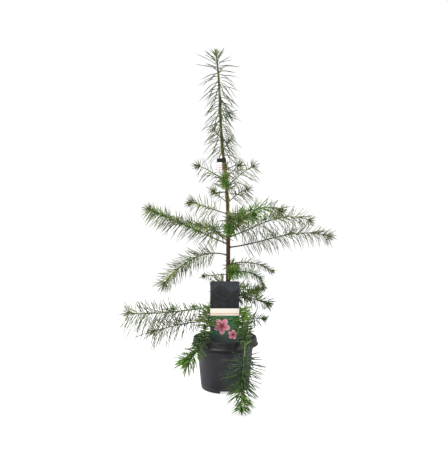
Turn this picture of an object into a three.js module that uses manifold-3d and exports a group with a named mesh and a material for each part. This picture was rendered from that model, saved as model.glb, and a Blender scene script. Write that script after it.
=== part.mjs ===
// A young european larch in its nursery pot, about a metre high, in millimetres.
// The origin is the pot's axis on its flat underside, +Z is up, and the label card faces -Y.
import * as THREE from "three";
import { mergeVertices } from "three/addons/utils/BufferGeometryUtils.js";
import Module from "manifold-3d";

const wasm = await Module();
wasm.setup();

const UP = new THREE.Vector3(0, 0, 1);
const GOLDEN_TURN = Math.PI * (3 - Math.sqrt(5));

// Clear space between two pieces that touch on the real plant.
const GAP = 0.3;

// The pot: radii of its outside, with a collar that folds over and hangs as a skirt.
const POT = {
  height: 147,
  wall: 1.6,
  floor: 2,
  facets: 36,
  baseRadius: 69.3,
  baseFillet: 4.5,
  middleRadius: 78,
  middleHeight: 90,
  shoulderRadius: 81,
  shoulderHeight: 118,
  neckRadius: 86.4,
  neckHeight: 124,
  rimRadius: 91,
  skirtRadius: 95.6,
  skirtHeight: 125.8,
  bead: 0.9,
};

// Four channels under the pot, each ending in a notch in its foot, with a drain hole in its roof.
const CHANNEL = { count: 4, width: 28, height: 7.5, inner: 44, drainRadius: 5, drainAt: 55 };

const SOIL = { edge: 128, crown: 131, crownRadius: 14 };

// The label card stands in the soil in front of the trunk. Below the soil it narrows to a foot.
const CARD = {
  left: -42.3,
  right: 40.1,
  top: 311,
  thick: 0.8,
  y: -42,
  foot: 88,
  footWidth: 34,
  shoulder: 118,
};

// A clip grips the trunk and has a tail on its left, and a blank tag hangs under the tail.
const CLIP = { bottom: 653, top: 664, wall: 1.6, tailBottom: 654, tailLeft: -24.3, tailThick: 3 };
const TAG = { width: 16, height: 37, thick: 0.6, top: CLIP.tailBottom - GAP, left: -24.7 };

// The trunk: its foot on the soil, the height where its last mass takes over, and its diameters.
const TRUNK = {
  foot: 131.3,
  end: 946,
  tip: 970,
  base: 14.5,
  point: 2.5,
  taper: 0.75,
  flare: 3,
  flareDepth: 12,
  sides: 8,
};

// The trunk's lean: sideways place of its centre line at some heights.
const LEAN = [
  [131, 5],
  [325, 8.5],
  [430, 9],
  [530, 7],
  [620, 2],
  [690, -7.5],
  [760, -12.5],
  [825, -15],
  [900, -19],
  [970, -26],
];

// The side shoots, from the top down on each side. Each has the height of its root on the trunk, its length,
// and its heading and rise in degrees at root, middle and tip. Heading 0 is +X, and 90 is away from the card.
// `bough` is the share of a main shoot that is a bare limb of its own, `bare` the share without needles.
// `lean` is how the needles lean off it at root and tip, and `needle` is their length.
// A `plain` shoot has no side twigs.
const SHOOTS = [
  { name: "left_1", height: 590, length: 103, heading: [165, 165, 165], rise: [46, 32, 22], bare: 0.12 },
  {
    name: "left_2",
    height: 535,
    length: 55,
    heading: [205, 205, 205],
    rise: [34, 37, 36],
    bare: 0.3,
    needle: 28,
  },
  { name: "left_3", height: 502, length: 115, heading: [172, 172, 172], rise: [16, 19, 12], bare: 0.15 },
  { name: "left_4", height: 434, length: 135, heading: [150, 155, 160], rise: [23, 17, 21], bare: 0.1 },
  { name: "left_5", height: 414, length: 251, heading: [190, 188, 185], rise: [22, 25, 20], bough: 0.15 },
  {
    name: "left_6",
    height: 381,
    length: 217,
    heading: [186, 186, 186],
    rise: [21, -27, -51],
    bough: 0.16,
    plain: true,
  },
  {
    name: "left_7",
    height: 326,
    length: 84,
    heading: [150, 150, 150],
    rise: [3, -9, 0],
    bare: 0.2,
    needle: 30,
  },
  {
    name: "left_8",
    height: 237,
    length: 291,
    heading: [182, 182, 182],
    rise: [-6, -6, 3],
    bough: 0.17,
    needle: 52,
  },
  {
    name: "left_9",
    height: 184,
    length: 222,
    heading: [176, 176, 176],
    rise: [11, -9, -17],
    bough: 0.2,
    needle: 52,
  },
  {
    name: "left_10",
    height: 280,
    length: 248,
    heading: [193, 244, 220],
    rise: [-30, -54, -19],
    bough: 0.2,
    lean: [84, 40],
    plain: true,
  },
  { name: "right_1", height: 606, length: 60, heading: [35, 35, 35], rise: [46, 42, 40], bare: 0.3 },
  { name: "right_2", height: 580, length: 100, heading: [-12, -12, -12], rise: [43, 39, 24], bare: 0.3 },
  { name: "right_3", height: 535, length: 76, heading: [20, 20, 20], rise: [38, 36, 16], bare: 0.35 },
  { name: "right_4", height: 426, length: 228, heading: [-50, -45, -40], rise: [52, 27, -25], bough: 0.15 },
  { name: "right_5", height: 434, length: 269, heading: [15, 15, 15], rise: [17, 18, -24], bough: 0.14 },
  { name: "right_6", height: 405, length: 294, heading: [-6, -6, -6], rise: [5, 13, -18], bough: 0.13 },
  { name: "right_7", height: 354, length: 156, heading: [25, 25, 25], rise: [16, -10, -31], bough: 0.2 },
  { name: "right_8", height: 246, length: 95, heading: [-9, -9, -9], rise: [26, 25, 20], bare: 0.25 },
  { name: "right_9", height: 257, length: 124, heading: [5, 5, 5], rise: [3, -6, -24], bare: 0.2 },
  { name: "right_10", height: 199, length: 114, heading: [12, 12, 12], rise: [3, -4, -5], bare: 0.2 },
  {
    name: "right_11",
    height: 268,
    length: 353,
    heading: [-30, -95, -86],
    rise: [-36, -49, -48],
    bough: 0.15,
    lean: [84, 40],
    needle: 64,
    plain: true,
  },
  { name: "front_1", height: 576, length: 60, heading: [262, 262, 262], rise: [22, 28, 34], bare: 0.08 },
  { name: "front_2", height: 440, length: 88, heading: [274, 274, 274], rise: [32, 34, 32], bare: 0.08 },
  { name: "front_3", height: 460, length: 108, heading: [316, 316, 316], rise: [30, 20, 10], bare: 0.2 },
  { name: "front_4", height: 329, length: 138, heading: [-60, -14, -5], rise: [8, -8, -95], bare: 0.06 },
  { name: "back_1", height: 604, length: 90, heading: [96, 96, 96], rise: [35, 30, 30], bare: 0.2 },
  { name: "back_2", height: 550, length: 95, heading: [92, 92, 92], rise: [35, 30, 25], bare: 0.2 },
  { name: "back_3", height: 448, length: 190, heading: [75, 75, 75], rise: [30, 20, 5], bough: 0.18 },
  { name: "back_4", height: 420, length: 200, heading: [118, 118, 118], rise: [25, 15, 0], bough: 0.18 },
  { name: "back_5", height: 336, length: 180, heading: [82, 82, 82], rise: [15, 0, -20], bare: 0.12 },
  { name: "back_6", height: 298, length: 150, heading: [104, 104, 104], rise: [0, -8, -15], bare: 0.15 },
  { name: "back_7", height: 270, length: 190, heading: [60, 60, 60], rise: [10, -5, -10], bare: 0.12 },
  { name: "back_8", height: 222, length: 200, heading: [100, 100, 100], rise: [15, 0, -15], bough: 0.2 },
];

// The leading shoot's masses: sleeves of needles round the top of the trunk, and the twigs on two of them.
// Its needles stand upright at the top, hang below `archOver` from there, and shorten above `shortFrom`.
const LEADER = {
  bottom: 668,
  sleeves: 3,
  wall: 1.1,
  spacing: 4,
  needleLength: 66,
  shortFrom: 50,
  shortest: 0.28,
  archOver: 85,
  rise: [72, -20],
  droop: [0.1, 0.6],
};
const LEADER_TWIGS = [
  { name: "leader_1", height: 722, length: 36, heading: [175, 175, 175], rise: [45, 50, 60] },
  { name: "leader_1", height: 688, length: 34, heading: [20, 20, 20], rise: [50, 55, 60] },
  { name: "leader_2", height: 800, length: 30, heading: [-20, -25, -30], rise: [16, -16, -44] },
];

// Stems and needles. Needles stand singly round a stem, a golden turn apart, and lean towards its tip.
// A stem is `base` thick at its root, plus a share of its length, and `tip` thick at its end, as radii.
const STEM = {
  sides: 3,
  boughSides: 6,
  base: 1.2,
  perLength: 1 / 320,
  tip: 1.15,
  ringStep: 24,
  courseSteps: 24,
};
const NEEDLE = {
  length: 46,
  root: 2.2,
  thin: 0.32,
  spacing: 10.5,
  lean: [72, 48],
  rootRoom: 4,
  last: 0.97,
  sag: 0.18,
  clearance: 0.6,
  lowest: 2.4,
  tuft: 3,
  tuftLength: 26,
  tuftStep: 3,
};
const TWIG = { every: 170, length: 38, lean: 48, needles: 2, needleShare: 0.6, tuft: 1 };

const radians = (degrees) => (degrees * Math.PI) / 180;

// A small seeded generator, so that the plant grows the same each time.
function seeded(seed) {
  let state = seed >>> 0;
  return () => {
    state = (state + 0x6d2b79f5) >>> 0;
    let t = Math.imul(state ^ (state >>> 15), 1 | state);
    t = (t + Math.imul(t ^ (t >>> 7), 61 | t)) ^ t;
    return ((t ^ (t >>> 14)) >>> 0) / 4294967296;
  };
}

// A value that is a at share 0, b at share 0.5 and c at share 1, on one smooth curve.
function blend([a, b, c], share) {
  return a * (1 - share) * (1 - 2 * share) + b * 4 * share * (1 - share) + c * share * (2 * share - 1);
}

// Solids

function solidOf(geometry) {
  geometry.deleteAttribute("normal");
  geometry.deleteAttribute("uv");
  const merged = mergeVertices(geometry, 1e-4);
  return new wasm.Manifold(
    new wasm.Mesh({
      numProp: 3,
      vertProperties: merged.attributes.position.array,
      triVerts: new Uint32Array(merged.index.array),
    }),
  );
}

function geometryOf(solid) {
  const mesh = solid.getMesh();
  const positions = new Float32Array(mesh.numVert * 3);
  for (let i = 0; i < mesh.numVert; i++) {
    const start = i * mesh.numProp;
    positions.set(mesh.vertProperties.subarray(start, start + 3), i * 3);
  }
  return new THREE.BufferGeometry()
    .setAttribute("position", new THREE.BufferAttribute(positions, 3))
    .setIndex(new THREE.BufferAttribute(mesh.triVerts, 1));
}

// A closed tube through rings that each have a centre, a radius and two unit vectors across.
// A ring may be thin in its first vector, and a last ring whose radius is 0 is a point.
function loft(rings, sides) {
  const pointed = rings[rings.length - 1].radius === 0;
  const full = pointed ? rings.slice(0, -1) : rings;
  const positions = [];
  const faces = [];
  for (const ring of full) {
    for (let i = 0; i < sides; i++) {
      const turn = (2 * Math.PI * i) / sides;
      const point = ring.centre
        .clone()
        .addScaledVector(ring.across, ring.radius * (ring.thin ?? 1) * Math.cos(turn))
        .addScaledVector(ring.over, ring.radius * Math.sin(turn));
      positions.push(point.x, point.y, point.z);
    }
  }
  for (let k = 0; k + 1 < full.length; k++) {
    for (let i = 0; i < sides; i++) {
      const a = k * sides + i;
      const b = k * sides + ((i + 1) % sides);
      faces.push(a, b, b + sides, a, b + sides, a + sides);
    }
  }
  for (let i = 1; i + 1 < sides; i++) faces.push(0, i + 1, i);
  const last = (full.length - 1) * sides;
  if (pointed) {
    const apex = rings[rings.length - 1].centre;
    positions.push(apex.x, apex.y, apex.z);
    for (let i = 0; i < sides; i++) faces.push(last + i, last + ((i + 1) % sides), last + sides);
  } else {
    for (let i = 1; i + 1 < sides; i++) faces.push(last, last + i, last + i + 1);
  }
  const geometry = new THREE.BufferGeometry();
  geometry.setAttribute("position", new THREE.Float32BufferAttribute(positions, 3));
  geometry.setIndex(faces);
  return solidOf(geometry);
}

// Rings along a line of centres, each turned from the one before without twist.
function ringsAlong(centres, radii) {
  let across = null;
  return centres.map((centre, i) => {
    const before = centres[Math.max(0, i - 1)];
    const after = centres[Math.min(centres.length - 1, i + 1)];
    const along = after.clone().sub(before).normalize();
    if (!across) {
      const aside = Math.abs(along.z) > 0.9 ? new THREE.Vector3(0, 1, 0) : UP;
      across = new THREE.Vector3().crossVectors(along, aside);
    }
    across.addScaledVector(along, -across.dot(along)).normalize();
    const over = new THREE.Vector3().crossVectors(along, across);
    return { centre, radius: radii[i], along, across: across.clone(), over };
  });
}

// A closed profile of radius and height turned about the upright axis.
function turned(profile) {
  const geometry = new THREE.LatheGeometry(profile, POT.facets);
  geometry.rotateX(Math.PI / 2);
  return solidOf(geometry);
}

function boxSolid(width, depth, height, x, y, z, turn = 0) {
  const box = new THREE.BoxGeometry(width, depth, height);
  box.translate(x, y, z);
  box.rotateZ(turn);
  return solidOf(box);
}

// Pot, soil, card, tag and clip

function potSolid() {
  const p = POT;
  const inner = (radius, z) => new THREE.Vector2(radius - p.wall, z);
  const profile = [
    new THREE.Vector2(0, 0),
    new THREE.Vector2(p.baseRadius - p.baseFillet, 0),
    new THREE.Vector2(p.baseRadius - p.baseFillet * 0.3, p.baseFillet * 0.3),
    new THREE.Vector2(p.baseRadius, p.baseFillet),
    new THREE.Vector2(p.middleRadius, p.middleHeight),
    new THREE.Vector2(p.shoulderRadius, p.shoulderHeight),
    new THREE.Vector2(p.neckRadius, p.neckHeight),
    new THREE.Vector2(p.rimRadius - p.wall - 0.6, p.height - p.wall - 0.6),
    new THREE.Vector2(p.rimRadius - p.wall + 0.3, p.height - p.wall - 0.6),
    new THREE.Vector2(p.skirtRadius - p.wall, p.skirtHeight),
    new THREE.Vector2(p.skirtRadius + p.bead, p.skirtHeight),
    new THREE.Vector2(p.skirtRadius + p.bead, p.skirtHeight + 1.4),
    new THREE.Vector2(p.skirtRadius - 0.3, p.skirtHeight + 2.4),
    new THREE.Vector2(p.rimRadius + 0.2, p.height - 1.2),
    new THREE.Vector2(p.rimRadius - 0.7, p.height),
    new THREE.Vector2(p.rimRadius - p.wall - 1.2, p.height),
    new THREE.Vector2(p.rimRadius - p.wall - 2.2, p.height - 1.4),
    inner(p.neckRadius, p.neckHeight + 1.2),
    inner(p.shoulderRadius, p.shoulderHeight + 1),
    inner(p.middleRadius, p.middleHeight),
    inner(p.baseRadius, p.baseFillet),
    new THREE.Vector2(p.baseRadius - p.baseFillet, p.floor),
    new THREE.Vector2(0, p.floor),
  ];
  let pot = turned(profile);
  for (const box of channelBoxes(p.wall, 0)) pot = pot.add(box);
  for (const box of channelBoxes(0, p.wall + 12)) pot = pot.subtract(box);
  for (let i = 0; i < CHANNEL.count; i++) {
    const drain = new THREE.CylinderGeometry(CHANNEL.drainRadius, CHANNEL.drainRadius, 8, 12);
    drain.rotateX(Math.PI / 2);
    drain.translate(CHANNEL.drainAt, 0, CHANNEL.height);
    drain.rotateZ((2 * Math.PI * i) / CHANNEL.count);
    pot = pot.subtract(solidOf(drain));
  }
  return pot;
}

// The four channels as boxes, grown by a margin on their sides, roof and inner end.
function channelBoxes(margin, past) {
  const outer = POT.baseRadius - POT.wall + 0.4 + past;
  const inner = CHANNEL.inner - margin;
  const height = CHANNEL.height + margin;
  const below = past > 0 ? 3 : 0;
  return Array.from({ length: CHANNEL.count }, (_, i) =>
    boxSolid(
      outer - inner,
      CHANNEL.width + 2 * margin,
      height + below,
      (outer + inner) / 2,
      0,
      (height - below) / 2,
      (2 * Math.PI * i) / CHANNEL.count,
    ),
  );
}

function soilSolid() {
  const p = POT;
  const inside = (radius, z) => new THREE.Vector2(radius - p.wall - GAP, z);
  const profile = [
    new THREE.Vector2(0, p.floor + GAP),
    new THREE.Vector2(p.baseRadius - p.baseFillet - GAP, p.floor + GAP),
    inside(p.baseRadius - 0.2, p.baseFillet + 0.3),
    inside(p.middleRadius, p.middleHeight),
    inside(p.shoulderRadius, p.shoulderHeight + 1.2),
    inside(p.neckRadius, p.neckHeight + 1.6),
    inside(p.neckRadius + 0.2, SOIL.edge),
    new THREE.Vector2(SOIL.crownRadius + 34, (SOIL.edge + SOIL.crown) / 2 + 0.6),
    new THREE.Vector2(SOIL.crownRadius, SOIL.crown),
    new THREE.Vector2(0, SOIL.crown),
  ];
  let soil = turned(profile);
  for (const box of channelBoxes(p.wall + GAP, 6)) soil = soil.subtract(box);
  return soil.subtract(cardSolid(GAP));
}

// The card as an upright sheet whose part below the soil narrows to a foot.
function cardSolid(margin = 0) {
  const middle = (CARD.left + CARD.right) / 2;
  const shape = new THREE.Shape();
  shape.moveTo(middle - CARD.footWidth / 2 - margin, CARD.foot - margin);
  shape.lineTo(middle + CARD.footWidth / 2 + margin, CARD.foot - margin);
  shape.lineTo(CARD.right + margin, CARD.shoulder);
  shape.lineTo(CARD.right + margin, CARD.top - 2);
  shape.lineTo(CARD.right - 2, CARD.top);
  shape.lineTo(CARD.left + 2, CARD.top);
  shape.lineTo(CARD.left - margin, CARD.top - 2);
  shape.lineTo(CARD.left - margin, CARD.shoulder);
  shape.closePath();
  const thick = CARD.thick + 2 * margin;
  const card = new THREE.ExtrudeGeometry(shape, { depth: thick, bevelEnabled: false });
  card.rotateX(Math.PI / 2);
  card.translate(0, CARD.y + thick / 2, 0);
  return solidOf(card);
}

function tagSolid() {
  const shape = new THREE.Shape();
  const { width, height, left, top } = TAG;
  shape.moveTo(left, top - height);
  shape.lineTo(left + width, top - height);
  shape.lineTo(left + width, top - 2.5);
  shape.lineTo(left + width - 2.5, top);
  shape.lineTo(left + 2.5, top);
  shape.lineTo(left, top - 2.5);
  shape.closePath();
  const tag = new THREE.ExtrudeGeometry(shape, { depth: TAG.thick, bevelEnabled: false });
  tag.rotateX(Math.PI / 2);
  tag.translate(0, TAG.thick / 2, 0);
  return solidOf(tag);
}

// A collar round the trunk with a short tail on the left.
function clipSolid() {
  const heights = [CLIP.bottom, CLIP.top];
  const centres = heights.map(trunkCentre);
  const radii = heights.map((z) => trunkRadius(z) + GAP + CLIP.wall);
  const middle = (CLIP.tailBottom + CLIP.top - 1) / 2;
  const tailRight = trunkCentre(middle).x;
  const tail = boxSolid(
    tailRight - CLIP.tailLeft,
    CLIP.tailThick,
    CLIP.top - 1 - CLIP.tailBottom,
    (tailRight + CLIP.tailLeft) / 2,
    0,
    middle,
  );
  return loft(ringsAlong(centres, radii), TRUNK.sides).add(tail).subtract(trunkSolid(GAP));
}

// Trunk

function leanAt(z) {
  const last = LEAN.length - 1;
  const found = LEAN.findIndex((_, k) => k === last - 1 || LEAN[k + 1][0] >= z);
  const i = Math.min(last - 1, Math.max(0, found));
  const slope = (k) => {
    const below = LEAN[Math.max(0, k - 1)];
    const above = LEAN[Math.min(last, k + 1)];
    return (above[1] - below[1]) / (above[0] - below[0]);
  };
  const span = LEAN[i + 1][0] - LEAN[i][0];
  const t = (z - LEAN[i][0]) / span;
  const start = (2 * t ** 3 - 3 * t ** 2 + 1) * LEAN[i][1] + (t ** 3 - 2 * t ** 2 + t) * span * slope(i);
  return start + (3 * t ** 2 - 2 * t ** 3) * LEAN[i + 1][1] + (t ** 3 - t ** 2) * span * slope(i + 1);
}

function trunkCentre(z) {
  return new THREE.Vector3(leanAt(z), 0, z);
}

function trunkRadius(z) {
  const share = Math.min(1, (z - TRUNK.foot) / (TRUNK.tip - TRUNK.foot));
  const taper = TRUNK.point + (TRUNK.base - TRUNK.point) * (1 - share) ** TRUNK.taper;
  const sleeved = z > LEADER.bottom ? LEADER.wall : 0;
  return taper / 2 - sleeved + TRUNK.flare * Math.exp((TRUNK.foot - z) / TRUNK.flareDepth);
}

function trunkHeights() {
  const heights = [0, 4, 9, 18, 34].map((above) => TRUNK.foot + above);
  const flared = heights[heights.length - 1];
  const rings = 12;
  for (let i = 1; i < rings; i++) heights.push(flared + ((LEADER.bottom - flared) * i) / rings);
  heights.push(LEADER.bottom - 0.5, LEADER.bottom + 0.5);
  const steps = 8;
  for (let i = 1; i <= steps; i++) heights.push(LEADER.bottom + ((TRUNK.end - LEADER.bottom) * i) / steps);
  return heights;
}

// Level rings, so that a sleeve cut between two heights has the trunk's own faces.
function levelRings(heights, margin) {
  return heights.map((z) => ({
    centre: trunkCentre(z),
    radius: trunkRadius(z) + margin / Math.cos(Math.PI / TRUNK.sides),
    across: new THREE.Vector3(1, 0, 0),
    over: new THREE.Vector3(0, 1, 0),
  }));
}

function trunkSolid(margin = 0) {
  const heights = trunkHeights();
  if (margin > 0) heights.push(TRUNK.end + 5);
  return loft(levelRings(heights, margin), TRUNK.sides);
}

// Limbs

// The centre line of a shoot, stepped out from the trunk's axis.
function courseOf(shoot) {
  const point = trunkCentre(shoot.height);
  const points = [point.clone()];
  const step = shoot.length / STEM.courseSteps;
  for (let i = 0; i < STEM.courseSteps; i++) {
    const share = (i + 0.5) / STEM.courseSteps;
    const heading = radians(blend(shoot.heading, share));
    const rise = radians(blend(shoot.rise, share));
    point.x += step * Math.cos(rise) * Math.cos(heading);
    point.y += step * Math.cos(rise) * Math.sin(heading);
    point.z += step * Math.sin(rise);
    points.push(point.clone());
  }
  return new THREE.CatmullRomCurve3(points);
}

function stemRadius(length, share) {
  const base = STEM.base + length * STEM.perLength;
  return base + (STEM.tip - base) * share;
}

// The rings of a shoot's stem between two shares of its length.
function stemRings(shoot, from, to) {
  const { curve } = shoot;
  const count = Math.max(2, Math.round(((to - from) * shoot.length) / STEM.ringStep) + 1);
  const shareOf = (_, i) => Math.min(1, from + ((to - from) * i) / (count - 1));
  const shares = Array.from({ length: count }, shareOf);
  const centres = shares.map((share) => curve.getPointAt(share));
  const radii = shares.map((share) => stemRadius(shoot.length, share));
  return ringsAlong(centres, radii);
}

// A point on a stem's own straight stretches, so that roots lie in wood, and the way the stem runs there.
function onStem(shoot, share) {
  const { rings, from } = shoot;
  const place = ((share - from) / (1 - from)) * (rings.length - 1);
  const i = THREE.MathUtils.clamp(Math.floor(place), 0, rings.length - 2);
  const [start, end] = [rings[i].centre, rings[i + 1].centre];
  return { root: start.clone().lerp(end, place - i), along: end.clone().sub(start).normalize() };
}

// Short side twigs of a long stem, to both sides of it in turn.
function twigsOf(shoot, random) {
  const from = Math.max(shoot.from, shoot.bare ?? 0);
  const count = shoot.plain ? 0 : Math.floor(((1 - from) * shoot.length) / TWIG.every);
  return Array.from({ length: count }, (_, i) => {
    const share = from + ((1 - from) * (i + 0.55 + 0.3 * random())) / (count + 0.6);
    const { root, along } = onStem(shoot, share);
    const side = new THREE.Vector3().crossVectors(UP, along).normalize();
    side.multiplyScalar(i % 2 ? -1 : 1);
    const lean = radians(TWIG.lean + 10 * random());
    const direction = along.clone().multiplyScalar(Math.cos(lean)).addScaledVector(side, Math.sin(lean));
    direction.z += 0.25 * random();
    const length = TWIG.length * (0.7 + 0.45 * random());
    return twigAlong(root, direction.normalize(), length);
  });
}

function twigAlong(root, direction, length) {
  const tip = root.clone().addScaledVector(direction, length);
  const twig = { length, from: 0, bare: 0.3, curve: new THREE.LineCurve3(root, tip), twig: true };
  twig.rings = stemRings(twig, 0, 1);
  return twig;
}

// Needles

// One needle as its line of points: straight, or bent downwards beyond its middle by `droop`.
function needleLine(root, direction, length, droop) {
  if (!droop) return [root, root.clone().addScaledVector(direction, length)];
  const middle = root.clone().addScaledVector(direction, length * 0.45);
  const outer = direction.clone();
  outer.z -= droop;
  return [root, middle, middle.clone().addScaledVector(outer.normalize(), length * 0.55)];
}

// A pointed three-sided blade. Its root lies flat along the axis of its stem, sunk in the wood.
function needleSolid(line, along) {
  const way = line[1].clone().sub(line[0]).normalize();
  const across = new THREE.Vector3().crossVectors(along, way).normalize();
  const radii = line.length === 3 ? [NEEDLE.root, NEEDLE.root * 0.7, 0] : [NEEDLE.root, 0];
  const rings = line.map((centre, i) => {
    const over = i === 0 ? along : new THREE.Vector3().crossVectors(way, across);
    return { centre, radius: radii[i], thin: NEEDLE.thin, across, over };
  });
  return loft(rings, 3);
}

// Directions of the needles round a stem, from its bare stretch to the tuft at its tip.
function needlePlan(shoot, random) {
  const plan = [];
  const start = Math.max(shoot.from, shoot.bare ?? 0) + NEEDLE.rootRoom / shoot.length;
  const room = (NEEDLE.last - start) * shoot.length;
  const count = shoot.twig ? TWIG.needles : Math.max(3, Math.round(room / NEEDLE.spacing));
  const full = shoot.twig ? NEEDLE.length * TWIG.needleShare : (shoot.needle ?? NEEDLE.length);
  const [leanRoot, leanTip] = shoot.lean ?? NEEDLE.lean;
  for (let i = 0; i < count; i++) {
    const along01 = i / count;
    const share = start + (NEEDLE.last - start) * (along01 + 0.5 / count);
    const lean = leanRoot + (leanTip - leanRoot) * along01 ** 2 + 10 * (random() - 0.5);
    const length = full * (1 - 0.35 * along01 ** 3) * (0.85 + 0.3 * random());
    plan.push({ share, turn: i * GOLDEN_TURN + random() * 0.5, lean, length });
  }
  const tuft = shoot.twig ? TWIG.tuft : NEEDLE.tuft;
  for (let i = 0; i < tuft; i++) {
    const share = 1 - (1.2 + NEEDLE.tuftStep * i) / shoot.length;
    const turn = (2 * Math.PI * (i + random() * 0.4)) / tuft;
    const lean = 14 + 22 * random();
    plan.push({ share, turn, lean, length: NEEDLE.tuftLength * (0.8 + 0.4 * random()) });
  }
  return plan;
}

// The lines of all limbs and needles made so far, which keep the masses apart.
const taken = [];

function takeStem(rings, owner) {
  takeLine(rings.map((ring) => ring.centre), rings.map((ring) => ring.radius), owner, "stem");
}

function takeLine(points, radii, owner, kind) {
  for (let i = 0; i + 1 < points.length; i++) {
    const line = new THREE.Line3(points[i], points[i + 1]);
    taken.push({ line, radii: [radii[i], radii[i + 1]], owner, kind });
  }
}

// Whether a stretch of needle comes too near a stretch that is taken.
function tooNear(stretch, radii, other) {
  const samples = 8;
  const point = new THREE.Vector3();
  const nearest = new THREE.Vector3();
  for (let k = 0; k <= samples; k++) {
    stretch.at(k / samples, point);
    const t = other.line.closestPointToPointParameter(point, true);
    other.line.at(t, nearest);
    const own = THREE.MathUtils.lerp(radii[0], radii[1], k / samples);
    const theirs = THREE.MathUtils.lerp(other.radii[0], other.radii[1], t);
    if (point.distanceTo(nearest) < own + theirs + NEEDLE.clearance) return true;
  }
  return false;
}

function clearOfMade(point) {
  const room = NEEDLE.root + NEEDLE.clearance;
  const away = Math.hypot(point.x, point.y);
  if (point.z < NEEDLE.lowest + NEEDLE.root) return false;
  const overRim = point.z > POT.height + room;
  const outside = away > POT.skirtRadius + POT.bead + room;
  const overSoil = away < POT.neckRadius - POT.wall - 2 * room && point.z > SOIL.crown + room;
  if (!(overRim || outside || overSoil)) return false;
  const inCardWidth = point.x > CARD.left - room && point.x < CARD.right + room;
  const besideCard = Math.abs(point.y - CARD.y) < CARD.thick / 2 + room;
  if (inCardWidth && besideCard && point.z < CARD.top + room) return false;
  const inTagSpan = point.x > TAG.left - room && point.x < TAG.left + TAG.width + room;
  const besideTag = point.z > TAG.top - TAG.height - room && point.z < CLIP.top + room;
  const clipRoom = CLIP.tailThick / 2 + room;
  return !(inTagSpan && besideTag && Math.abs(point.y) < clipRoom);
}

function isClear(line, radii, owner, ignored) {
  const samples = 14;
  for (let i = 0; i + 1 < line.length; i++) {
    for (let k = 0; k <= samples; k++) {
      if (i + k > 1 && !clearOfMade(line[i].clone().lerp(line[i + 1], k / samples))) return false;
    }
    const whole = new THREE.Line3(line[i], line[i + 1]);
    const outer = new THREE.Line3(i === 0 ? line[0].clone().lerp(line[1], 0.3) : line[i], line[i + 1]);
    for (const other of taken) {
      if (ignored.includes(other.owner) && other.kind === "stem") continue;
      const stretch = other.owner === owner ? outer : whole;
      if (tooNear(stretch, [radii[i], radii[i + 1]], other)) return false;
    }
  }
  return true;
}

// Grows the needles of one stem and gives their solids. `ignored` names the limbs that roots may lie in.
function growNeedles(shoot, owner, random, ignored) {
  const solids = [];
  const across = new THREE.Vector3();
  const over = new THREE.Vector3();
  for (const { share, turn, lean, length } of needlePlan(shoot, random)) {
    const { root, along } = onStem(shoot, share);
    const aside = Math.abs(along.z) > 0.95 ? new THREE.Vector3(1, 0, 0) : UP;
    across.crossVectors(along, aside).normalize();
    over.crossVectors(along, across);
    const direction = along
      .clone()
      .multiplyScalar(Math.cos(radians(lean)))
      .addScaledVector(across, Math.sin(radians(lean)) * Math.cos(turn))
      .addScaledVector(over, Math.sin(radians(lean)) * Math.sin(turn));
    direction.z -= NEEDLE.sag;
    const line = needleLine(root, direction.normalize(), length, 0);
    if (!isClear(line, [NEEDLE.root, 0], owner, ignored)) continue;
    takeLine(line, [NEEDLE.root, 0], owner, "needle");
    solids.push(needleSolid(line, along));
  }
  return solids;
}

// The side twigs of a long stem, without those that would touch another limb.
function clearTwigs(shoot, random) {
  const twigs = twigsOf(shoot, random).filter((twig) => {
    const [first, last] = [twig.rings[0], twig.rings[twig.rings.length - 1]];
    const line = [first.centre, last.centre];
    return isClear(line, [first.radius, last.radius], shoot.name, [shoot.name]);
  });
  twigs.forEach((twig) => takeStem(twig.rings, shoot.name));
  return twigs;
}

function joined(solids) {
  return solids.reduce((whole, solid) => whole.add(solid));
}

// One mass of foliage: a stem, its side twigs and their needles, cut clear of the trunk where it meets it.
function foliageSolid(shoot, bore, seed) {
  const random = seeded(seed);
  const owner = shoot.name;
  const solids = [loft(shoot.rings, STEM.sides)];
  solids.push(...growNeedles(shoot, owner, random, [owner]));
  for (const twig of shoot.twigs) {
    solids.push(loft(twig.rings, STEM.sides), ...growNeedles(twig, owner, random, [owner]));
  }
  const mass = joined(solids);
  return shoot.bough ? mass : mass.subtract(bore);
}

// How a leader needle lies at a height: its rise at the root in degrees, and how far it bends down.
function leaderHabit(z) {
  const below = THREE.MathUtils.clamp((TRUNK.tip - z) / LEADER.archOver, 0, 1);
  const rise = THREE.MathUtils.lerp(LEADER.rise[0], LEADER.rise[1], below);
  const droop = THREE.MathUtils.lerp(LEADER.droop[0], LEADER.droop[1], below);
  return { rise, droop };
}

function leaderNeedles(bottom, top, owner, random) {
  const solids = [];
  const count = Math.round((top - bottom) / LEADER.spacing);
  for (let i = 0; i < count; i++) {
    const z = bottom + ((top - bottom) * (i + 0.5)) / count;
    const turn = i * GOLDEN_TURN + 0.4 * random();
    const { rise, droop } = leaderHabit(z);
    const lift = radians(rise + 12 * (random() - 0.5));
    const level = new THREE.Vector3(Math.cos(turn), Math.sin(turn), 0);
    const out = level.multiplyScalar(Math.cos(lift)).setZ(Math.sin(lift));
    const reach = THREE.MathUtils.clamp((TRUNK.tip + 12 - z) / LEADER.shortFrom, LEADER.shortest, 1);
    const length = LEADER.needleLength * reach * (0.85 + 0.3 * random());
    const line = needleLine(trunkCentre(z), out, length, droop);
    const radii = [NEEDLE.root, NEEDLE.root * 0.7, 0];
    if (!isClear(line, radii, owner, [owner, "trunk"])) continue;
    takeLine(line, radii, owner, "needle");
    solids.push(needleSolid(line, UP));
  }
  return solids;
}

function leaderSpans() {
  const height = (TRUNK.end - LEADER.bottom) / LEADER.sleeves;
  return Array.from({ length: LEADER.sleeves }, (_, i) => {
    const bottom = LEADER.bottom + height * i + (i === 0 ? 1 : GAP);
    return { name: `leader_${i + 1}`, bottom, top: LEADER.bottom + height * (i + 1) };
  });
}

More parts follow.
